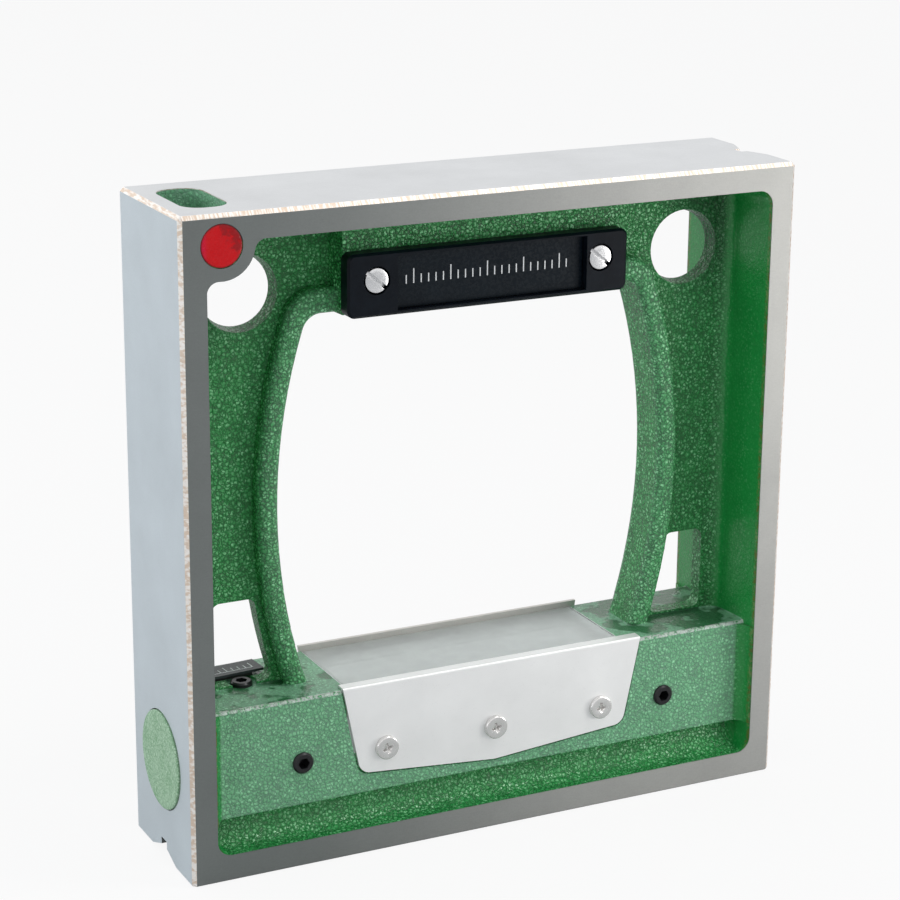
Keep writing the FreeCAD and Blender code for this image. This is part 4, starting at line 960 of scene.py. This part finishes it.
def settle(piece: bpy.types.Object) -> None:
    """Put the piece's place, turn and size into its mesh."""
    take(piece)
    bpy.ops.object.transform_apply(location=True, rotation=True, scale=True)


def drum(name: str, radius: float, low: Point, length: float, sides: int = 48) -> bpy.types.Object:
    """Add an upright cylinder that stands at low.

    Args:
        name: Name of the piece.
        radius: Radius in metres.
        low: Middle of its lower end, in metres.
        length: Length along Z, in metres.
        sides: Number of sides.

    Returns:
        The new object, settled.
    """
    deselect()
    bpy.ops.mesh.primitive_cylinder_add(
        vertices=sides, radius=radius, depth=length, location=(low[0], low[1], low[2] + length / 2)
    )
    made = bpy.context.active_object
    made.name = name
    settle(made)
    return made


def brick(name: str, low: Point, high: Point) -> bpy.types.Object:
    """Add a box between two corners.

    Args:
        name: Name of the piece.
        low: Lowest corner, in metres.
        high: Highest corner, in metres.

    Returns:
        The new object, settled.
    """
    deselect()
    middle = [(a + b) / 2 for a, b in zip(low, high)]
    bpy.ops.mesh.primitive_cube_add(size=1.0, location=middle)
    made = bpy.context.active_object
    made.name = name
    made.scale = [b - a for a, b in zip(low, high)]
    settle(made)
    return made


def pick_faces(piece: bpy.types.Object, test: Callable[[Vector, Vector], bool]) -> int:
    """Select the faces of the piece in edit mode that pass a test.

    Args:
        piece: Object in edit mode.
        test: Takes a face's middle and normal, and says whether it is wanted.

    Returns:
        Number of faces selected.
    """
    bpy.ops.mesh.select_mode(type="FACE")
    bpy.ops.mesh.select_all(action="DESELECT")
    shape = bmesh.from_edit_mesh(piece.data)
    count = 0
    for face in shape.faces:
        wanted = test(face.calc_center_median(), face.normal)
        face.select_set(wanted)
        count += int(wanted)
    bmesh.update_edit_mesh(piece.data)
    return count


def pick_edges(piece: bpy.types.Object, test: Callable[[Vector, Vector], bool]) -> int:
    """Select the edges of the piece in edit mode whose two ends pass a test.

    Args:
        piece: Object in edit mode.
        test: Takes the two ends of an edge, and says whether it is wanted.

    Returns:
        Number of edges selected.
    """
    bpy.ops.mesh.select_mode(type="EDGE")
    bpy.ops.mesh.select_all(action="DESELECT")
    shape = bmesh.from_edit_mesh(piece.data)
    count = 0
    for edge in shape.edges:
        wanted = test(edge.verts[0].co, edge.verts[1].co)
        edge.select_set(wanted)
        count += int(wanted)
    bmesh.update_edit_mesh(piece.data)
    return count


def soften(piece: bpy.types.Object, width: float, steps: int = 2, angle: float = 35.0) -> None:
    """Round every edge sharper than angle, then smooth the shading."""
    take(piece)
    bevel = piece.modifiers.new("soften", "BEVEL")
    bevel.width = width
    bevel.segments = steps
    bevel.limit_method = "ANGLE"
    bevel.angle_limit = math.radians(angle)
    bevel.harden_normals = False
    bpy.ops.object.modifier_apply(modifier=bevel.name)
    bpy.ops.object.shade_smooth_by_angle(angle=math.radians(angle))


def carve(piece: bpy.types.Object, cutter: bpy.types.Object) -> None:
    """Cut the cutter out of the piece and remove the cutter."""
    take(piece)
    cut = piece.modifiers.new("carve", "BOOLEAN")
    cut.operation = "DIFFERENCE"
    cut.solver = "EXACT"
    cut.object = cutter
    bpy.ops.object.modifier_apply(modifier=cut.name)
    bpy.data.objects.remove(cutter, do_unlink=True)


def moved_copy(piece: bpy.types.Object, name: str, matrix: Matrix) -> bpy.types.Object:
    """Return a copy of the piece with its own mesh, moved by matrix."""
    made = piece.copy()
    made.data = piece.data.copy()
    made.name = name
    bpy.context.collection.objects.link(made)
    made.matrix_world = matrix
    settle(made)
    return made


def put_at(piece: bpy.types.Object, name: str, matrix: Matrix) -> bpy.types.Object:
    """Return the piece itself, moved by matrix and settled under its name."""
    piece.matrix_world = matrix
    settle(piece)
    piece.name = name
    return piece


def join(name: str, pieces: Sequence[bpy.types.Object]) -> bpy.types.Object:
    """Return the pieces as one object."""
    deselect()
    for one in pieces:
        one.select_set(True)
    bpy.context.view_layer.objects.active = pieces[0]
    bpy.ops.object.join()
    made = bpy.context.active_object
    made.name = name
    return made


def laid(place: Point, side: Side) -> Matrix:
    """Return the move from the workbench, where a screw's head faces up, to a place on one side.

    Args:
        place: Where the head's seat ends up, in metres.
        side: Side that the head faces.

    Returns:
        The matrix.
    """
    turn = Matrix.Rotation(math.radians(90.0), 4, "X")
    if side is Side.REAR:
        turn = Matrix.Rotation(math.pi, 4, "Z") @ turn
    return Matrix.Translation(Vector(place)) @ turn


def fit(piece: bpy.types.Object, finish: Finish, body: Body, replaced: Iterable[str] = ()) -> None:
    """Give a new piece its finish, body, slot and the CAD nodes that it stands for.

    Args:
        piece: The finished piece.
        finish: Its finish.
        body: Body that it moves with.
        replaced: CAD nodes that it replaces.
    """
    piece.data.materials.clear()
    piece.data.materials.append(finish.material())
    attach(piece, body.value)
    for node in replaced:
        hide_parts(node)
    LOG.info("built %s with %d faces", piece.name, len(piece.data.polygons))


def dress(finish: Finish, *nodes: str) -> None:
    """Give carried-over CAD nodes a finish."""
    for name in nodes:
        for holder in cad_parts[name].material_slots:
            holder.material = finish.material()
        LOG.info("dressed %s with %s", name, finish.name)


# ---------------------------------------------------------------- sub-assemblies
@dataclass
class Casting:
    """The ground and painted frame with its plug and datum spot."""

    spot_x: float = -87.05 * MM
    spot_z: float = 190.9 * MM
    spot_radius: float = 6.15 * MM
    spot_back: float = -23.4 * MM
    spot_thickness: float = 0.36 * MM
    spot_crown: float = 0.16 * MM

    def spot(self) -> bpy.types.Object:
        """Return the red enamel drop: a disc with a crowned face and a soft, slightly uneven rim."""
        made = drum("datum_enamel", self.spot_radius, (0.0, 0.0, 0.0), self.spot_thickness, 96)
        take(made)
        bpy.ops.object.mode_set(mode="EDIT")
        pick_faces(made, lambda middle, normal: normal.z > 0.9)
        for step in (0.12, 0.18, 0.24, 0.3):
            bpy.ops.mesh.inset(thickness=self.spot_radius * step)
            bpy.ops.transform.translate(value=(0.0, 0.0, self.spot_crown * (1.0 - step * 2.2) / 2.2))
        pick_edges(made, lambda a, b: min(a.z, b.z) > self.spot_thickness * 0.9 and min(
            math.hypot(a.x, a.y), math.hypot(b.x, b.y)) > self.spot_radius * 0.97)
        bpy.ops.transform.vertex_random(offset=0.05 * MM, seed=7)
        bpy.ops.object.mode_set(mode="OBJECT")
        soften(made, 0.08 * MM, 2, 40.0)
        place = (self.spot_x, self.spot_back, self.spot_z)
        return put_at(made, "datum_enamel", laid(place, Side.FRONT))

    def build(self) -> None:
        """Dress the casting and the plug, and lay the enamel drop."""
        dress(CASTING, "frame_casting")
        dress(PALE_PAINT, "side_plug")
        fit(self.spot(), RED_ENAMEL, Body.FRAME, ["datum_spot"])


@dataclass
class CoverPlates:
    """Bright plates over the vial block, with their cross-recess screws."""

    pitch: float = 37.0 * MM
    screw_z: float = 30.7 * MM
    front_mid_x: float = 2.35 * MM
    rear_mid_x: float = 0.95 * MM
    face_y: float = 18.4 * MM
    head_radius: float = 3.7 * MM
    head_height: float = 1.5 * MM
    arm_length: float = 3.9 * MM
    arm_width: float = 0.95 * MM
    recess_depth: float = 1.35 * MM

    def screw(self) -> bpy.types.Object:
        """Return one pan-head screw on the workbench, its seat at the origin and its head up."""
        head = drum("cover_screw", self.head_radius, (0.0, 0.0, 0.0), self.head_height, 64)
        take(head)
        bpy.ops.object.mode_set(mode="EDIT")
        pick_faces(head, lambda middle, normal: normal.z > 0.9)
        bpy.ops.mesh.bevel(offset=0.5 * MM, offset_type="OFFSET", segments=4, profile=0.55, affect="EDGES")
        bpy.ops.object.mode_set(mode="OBJECT")
        cutters = []
        for turn in (0.0, 90.0):
            arm = brick(
                "arm",
                (-self.arm_length / 2, -self.arm_width / 2, self.head_height - self.recess_depth),
                (self.arm_length / 2, self.arm_width / 2, self.head_height + 0.4 * MM),
            )
            take(arm)
            bpy.ops.object.mode_set(mode="EDIT")
            pick_faces(arm, lambda middle, normal: normal.z < -0.9)
            bpy.ops.transform.resize(value=(0.5, 0.62, 1.0))
            bpy.ops.object.mode_set(mode="OBJECT")
            arm.rotation_euler = (0.0, 0.0, math.radians(turn))
            settle(arm)
            cutters.append(arm)
        for cutter in cutters:
            carve(head, cutter)
        soften(head, 0.07 * MM, 2, 40.0)
        return head

    def row(self, name: str, middle: float, side: Side, turns: Sequence[float]) -> bpy.types.Object:
        """Return three screws on one side, each turned its own way.

        Args:
            name: Name of the row.
            middle: X of the middle screw.
            side: Side of the block.
            turns: Turn of each screw's cross, in degrees.

        Returns:
            The three as one object.
        """
        pattern = self.screw()
        made = []
        for index, turn in enumerate(turns):
            place = (middle + (index - 1) * self.pitch, side.value * self.face_y, self.screw_z)
            matrix = laid(place, side) @ Matrix.Rotation(math.radians(turn), 4, "Z")
            made.append(moved_copy(pattern, f"{name}_{index}", matrix))
        bpy.data.objects.remove(pattern, do_unlink=True)
        return join(name, made)

    def build(self) -> None:
        """Dress the plates and set their screws."""
        dress(BRIGHT_PLATE, "front_cover_plate")
        dress(REAR_PLATE, "rear_cover_plate")
        front = self.row("front_cross_screws", self.front_mid_x, Side.FRONT, (20.0, 18.0, 8.0))
        fit(front, BRIGHT_STEEL, Body.FRAME, ["front_cover_screws"])
        rear = self.row("rear_cross_screws", self.rear_mid_x, Side.REAR, (20.0, 75.0, 5.0))
        fit(rear, BRIGHT_STEEL, Body.FRAME, ["rear_cover_screws"])


@dataclass
class Grips:
    """Moulded hand grips on the top bar, with slotted screws and graduated plates."""

    screw_x: float = 36.8 * MM
    screw_z: float = 174.6 * MM
    seat_y: float = 13.4 * MM
    head_radius: float = 3.6 * MM
    head_height: float = 2.4 * MM
    slot_width: float = 1.1 * MM
    slot_depth: float = 1.2 * MM
    slot_turn: float = 40.0
    plate_y: float = 13.5 * MM
    tick_z: float = 172.2 * MM
    tick_step: float = 2.4 * MM
    tick_count: int = 23
    tick_width: float = 0.36 * MM
    tick_height: float = 2.6 * MM
    tick_thickness: float = 0.06 * MM

    def screw(self) -> bpy.types.Object:
        """Return one slotted cheese-head screw on the workbench, head up."""
        head = drum("grip_screw", self.head_radius, (0.0, 0.0, 0.0), self.head_height, 64)
        take(head)
        bpy.ops.object.mode_set(mode="EDIT")
        pick_faces(head, lambda middle, normal: normal.z > 0.9)
        bpy.ops.mesh.inset(thickness=self.head_radius * 0.3)
        bpy.ops.transform.translate(value=(0.0, 0.0, 0.12 * MM))
        bpy.ops.mesh.inset(thickness=self.head_radius * 0.35)
        bpy.ops.transform.translate(value=(0.0, 0.0, 0.05 * MM))
        bpy.ops.object.mode_set(mode="OBJECT")
        slot = brick(
            "slot",
            (-2 * self.head_radius, -self.slot_width / 2, self.head_height - self.slot_depth),
            (2 * self.head_radius, self.slot_width / 2, self.head_height + 1.0 * MM),
        )
        carve(head, slot)
        soften(head, 0.16 * MM, 3, 35.0)
        return head

    def pair(self, name: str, side: Side) -> bpy.types.Object:
        """Return the two screws of one grip."""
        pattern = self.screw()
        made = []
        for index, x in enumerate((-self.screw_x, self.screw_x)):
            place = (x + ORIGIN_X * MM, side.value * self.seat_y, self.screw_z)
            matrix = laid(place, side) @ Matrix.Rotation(math.radians(-self.slot_turn), 4, "Z")
            made.append(moved_copy(pattern, f"{name}_{index}", matrix))
        bpy.data.objects.remove(pattern, do_unlink=True)
        return join(name, made)

    def ticks(self, name: str, side: Side) -> bpy.types.Object:
        """Return the row of plain graduation lines on one name plate."""
        made = []
        start = ORIGIN_X * MM - self.tick_step * (self.tick_count - 1) / 2
        for index in range(self.tick_count):
            tall = 1.7 if index % 5 == 1 else 1.0
            x = start + index * self.tick_step
            near = side.value * self.plate_y
            far = side.value * (self.plate_y + self.tick_thickness)
            made.append(brick(
                f"{name}_{index}",
                (x - self.tick_width / 2, min(near, far), self.tick_z),
                (x + self.tick_width / 2, max(near, far), self.tick_z + self.tick_height * tall),
            ))
        whole = join(name, made)
        soften(whole, 0.02 * MM, 1, 40.0)
        return whole

    def build(self) -> None:
        """Dress the grips, set their screws and draw the graduations."""
        dress(GRIP_PLASTIC, "front_grip", "rear_grip")
        dress(NAME_PLASTIC, "front_name_plate", "rear_name_plate")
        for side, word in ((Side.FRONT, "front"), (Side.REAR, "rear")):
            screws = self.pair(f"{word}_slotted_screws", side)
            fit(screws, ZINC_STEEL, Body.FRAME, [f"{word}_grip_screws"])
            fit(self.ticks(f"{word}_graduations", side), WHITE_INK, Body.FRAME)


@dataclass
class VialChamber:
    """Pane, tray and ground vial, with the lines on its glass."""

    vial_y: float = -3.5 * MM
    vial_z: float = 41.2 * MM
    vial_radius: float = 5.5 * MM
    line_width: float = 0.22 * MM
    line_rise: float = 0.03 * MM
    line_places: tuple[float, ...] = (8.0, 10.0, 12.0, 14.0, 16.0)

    def lines(self) -> bpy.types.Object:
        """Return the graduation lines: thin bands over the upper half of the tube."""
        made = []
        for side in (-1, 1):
            for index, place in enumerate(self.line_places):
                deselect()
                middle = (ORIGIN_X * MM + side * place * MM, self.vial_y, self.vial_z)
                bpy.ops.mesh.primitive_cylinder_add(
                    vertices=64, radius=self.vial_radius + 0.005 * MM, depth=self.line_width,
                    end_fill_type="NOTHING", location=middle, rotation=(0.0, math.radians(90.0), 0.0),
                )
                ring = bpy.context.active_object
                settle(ring)
                reach = 0.30 if index == 0 else 0.55
                bpy.ops.object.mode_set(mode="EDIT")
                bpy.ops.mesh.select_all(action="SELECT")
                bpy.ops.mesh.bisect(
                    plane_co=(0.0, 0.0, self.vial_z + self.vial_radius * reach), plane_no=(0.0, 0.0, 1.0),
                    clear_inner=True, clear_outer=False,
                )
                bpy.ops.object.mode_set(mode="OBJECT")
                wall = ring.modifiers.new("wall", "SOLIDIFY")
                wall.thickness = self.line_rise
                wall.offset = 1.0
                bpy.ops.object.modifier_apply(modifier=wall.name)
                made.append(ring)
        return join("vial_lines", made)

    def build(self) -> None:
        """Dress the chamber and draw the vial's lines."""
        dress(WINDOW_GLASS, "window_glass")
        dress(WHITE_RUBBER, "window_gasket")
        dress(WHITE_TRAY, "vial_tray")
        dress(VIAL_GLASS, "vial_tube")
        dress(WHITE_CEMENT, "vial_end_plugs")
        dress(SPIRIT, "vial_spirit")
        dress(BUBBLE_GAS, "vial_bubble")
        dress(CARRIER_METAL, "vial_carrier")
        dress(SPRING_METAL, "carrier_spring")
        fit(self.lines(), BLACK_INK, Body.CARRIER)


@dataclass
class BlockScrews:
    """Set screws in the vial block and the small index plate behind the adjusting screw."""

    plate_x: float = -76.15 * MM
    plate_y: float = 7.9 * MM
    plate_top: float = 53.2 * MM
    plate_turn: float = 4.5
    mark_rise: float = 0.05 * MM

    def marks(self) -> bpy.types.Object:
        """Return the white marks on the index plate: a scale line with ticks."""
        made = [brick("mark", (-8.6 * MM, -2.1 * MM, 0.0), (8.6 * MM, -1.8 * MM, self.mark_rise))]
        for index in range(9):
            x = (-8.4 + index * 2.1) * MM
            rise = (1.6 if index % 4 == 0 else 0.4) * MM
            made.append(brick(
                f"mark_{index}", (x - 0.16 * MM, -1.8 * MM, 0.0), (x + 0.16 * MM, rise, self.mark_rise)
            ))
        whole = join("index_marks", made)
        turn = Matrix.Rotation(math.radians(self.plate_turn), 4, "Z")
        whole.matrix_world = Matrix.Translation((self.plate_x, self.plate_y, self.plate_top)) @ turn
        settle(whole)
        return whole

    def build(self) -> None:
        """Dress the screws and the plate, and draw its marks."""
        dress(BLACK_STEEL, "locking_screw", "pivot_screw", "adjusting_screw")
        dress(INDEX_SLATE, "index_plate")
        dress(INDEX_RUBBER, "index_plate_pad")
        fit(self.marks(), WHITE_INK, Body.FRAME)


@dataclass
class Studio:
    """Camera, lamps, floor and background."""

    eye: Point = (-0.344005, -0.678391, 0.345295)
    right: Point = (0.895363, -0.445273, 0.007537)
    up: Point = (0.122675, 0.262876, 0.956999)
    forward: Point = (0.428107, 0.855937, -0.289994)
    lens: float = 104.39
    fill: float = 0.62

    def camera(self) -> None:
        """Set the camera."""
        data = bpy.data.cameras.new("camera")
        data.lens = self.lens
        data.sensor_width = 36.0
        data.clip_start = 0.01
        made = bpy.data.objects.new("camera", data)
        bpy.context.collection.objects.link(made)
        axes = Matrix((self.right, self.up, [-c for c in self.forward])).transposed().to_4x4()
        made.matrix_world = Matrix.Translation(self.eye) @ axes
        bpy.context.scene.camera = made

    def lamp(self, name: str, place: Point, aim: Point, size: float, power: float, colour: Point) -> None:
        """Hang one soft square lamp.

        Args:
            name: Name of the lamp.
            place: Where it hangs, in metres.
            aim: Point that it faces.
            size: Length of its side, in metres.
            power: Power in watts.
            colour: Its colour.
        """
        data = bpy.data.lights.new(name, "AREA")
        data.size = size
        data.energy = power
        data.color = colour
        made = bpy.data.objects.new(name, data)
        made.visible_camera = False
        bpy.context.collection.objects.link(made)
        turn = (Vector(aim) - Vector(place)).to_track_quat("-Z", "Y")
        made.matrix_world = Matrix.Translation(place) @ turn.to_matrix().to_4x4()

    def floor(self) -> None:
        """Lay the pale floor, which shows white and keeps a faint shadow."""
        deselect()
        bpy.ops.mesh.primitive_plane_add(size=8.0, location=(0.0, 0.0, -0.0002))
        made = bpy.context.active_object
        made.name = "floor"
        settle(made)
        material = bpy.data.materials.new("floor_white")
        material.use_nodes = True
        graph = Graph(material.node_tree)
        shader = graph.node("ShaderNodeBsdfDiffuse")
        shader.inputs["Color"].default_value = (0.66, 0.66, 0.66, 1.0)
        glow = graph.node("ShaderNodeEmission")
        glow.inputs["Color"].default_value = (1.0, 1.0, 1.0, 1.0)
        glow.inputs["Strength"].default_value = 1.0
        both = graph.node("ShaderNodeMixShader")
        path = graph.node("ShaderNodeLightPath")
        graph.feed(both.inputs[0], graph.math("MULTIPLY", path.outputs["Is Camera Ray"], 0.9))
        graph.feed(both.inputs[1], shader.outputs[0])
        graph.feed(both.inputs[2], glow.outputs[0])
        output = graph.node("ShaderNodeOutputMaterial")
        graph.feed(output.inputs["Surface"], both.outputs[0])
        made.data.materials.append(material)

    def world(self) -> None:
        """Set the background: white to the camera, to glossy and to clear rays, softer as light."""
        made = bpy.data.worlds.new("studio")
        made.use_nodes = True
        bpy.context.scene.world = made
        graph = Graph(made.node_tree)
        path = graph.node("ShaderNodeLightPath")
        clear = graph.math("MAXIMUM", path.outputs["Is Glossy Ray"], path.outputs["Is Transmission Ray"])
        seen = graph.math("MAXIMUM", path.outputs["Is Camera Ray"], clear)
        soft = graph.node("ShaderNodeBackground")
        soft.inputs["Color"].default_value = (0.93, 0.96, 1.0, 1.0)
        soft.inputs["Strength"].default_value = self.fill
        plain = graph.node("ShaderNodeBackground")
        plain.inputs["Color"].default_value = (1.0, 1.0, 1.0, 1.0)
        both = graph.node("ShaderNodeMixShader")
        graph.feed(both.inputs[0], seen)
        graph.feed(both.inputs[1], soft.outputs[0])
        graph.feed(both.inputs[2], plain.outputs[0])
        output = graph.node("ShaderNodeOutputWorld")
        graph.feed(output.inputs["Surface"], both.outputs[0])

    def build(self) -> None:
        """Set up the whole studio."""
        self.camera()
        self.floor()
        self.world()
        middle = (0.0, 0.0, 0.1)
        self.lamp("high_key", (0.5, -0.35, 1.1), middle, 0.25, 3.2, (1.0, 0.99, 0.97))
        self.lamp("back_light", (-0.9, 1.1, 0.8), middle, 1.0, 4.5, (1.0, 1.0, 1.0))
        self.lamp("left_light", (-1.2, 0.05, 0.25), middle, 0.7, 6.5, (0.93, 0.97, 1.0))
        self.lamp("low_right_light", (0.42, -0.30, 0.08), middle, 0.2, 0.9, (1.0, 0.98, 0.95))
        bpy.context.scene.view_settings.view_transform = "Standard"


def main() -> None:
    """Build every sub-assembly in order."""
    logging.basicConfig(level=logging.INFO, format="%(name)s: %(message)s")
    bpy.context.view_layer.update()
    for part in (Casting(), CoverPlates(), Grips(), VialChamber(), BlockScrews(), Studio()):
        LOG.info("sub-assembly %s", type(part).__name__)
        part.build()


if __name__ == "__main__":
    main()
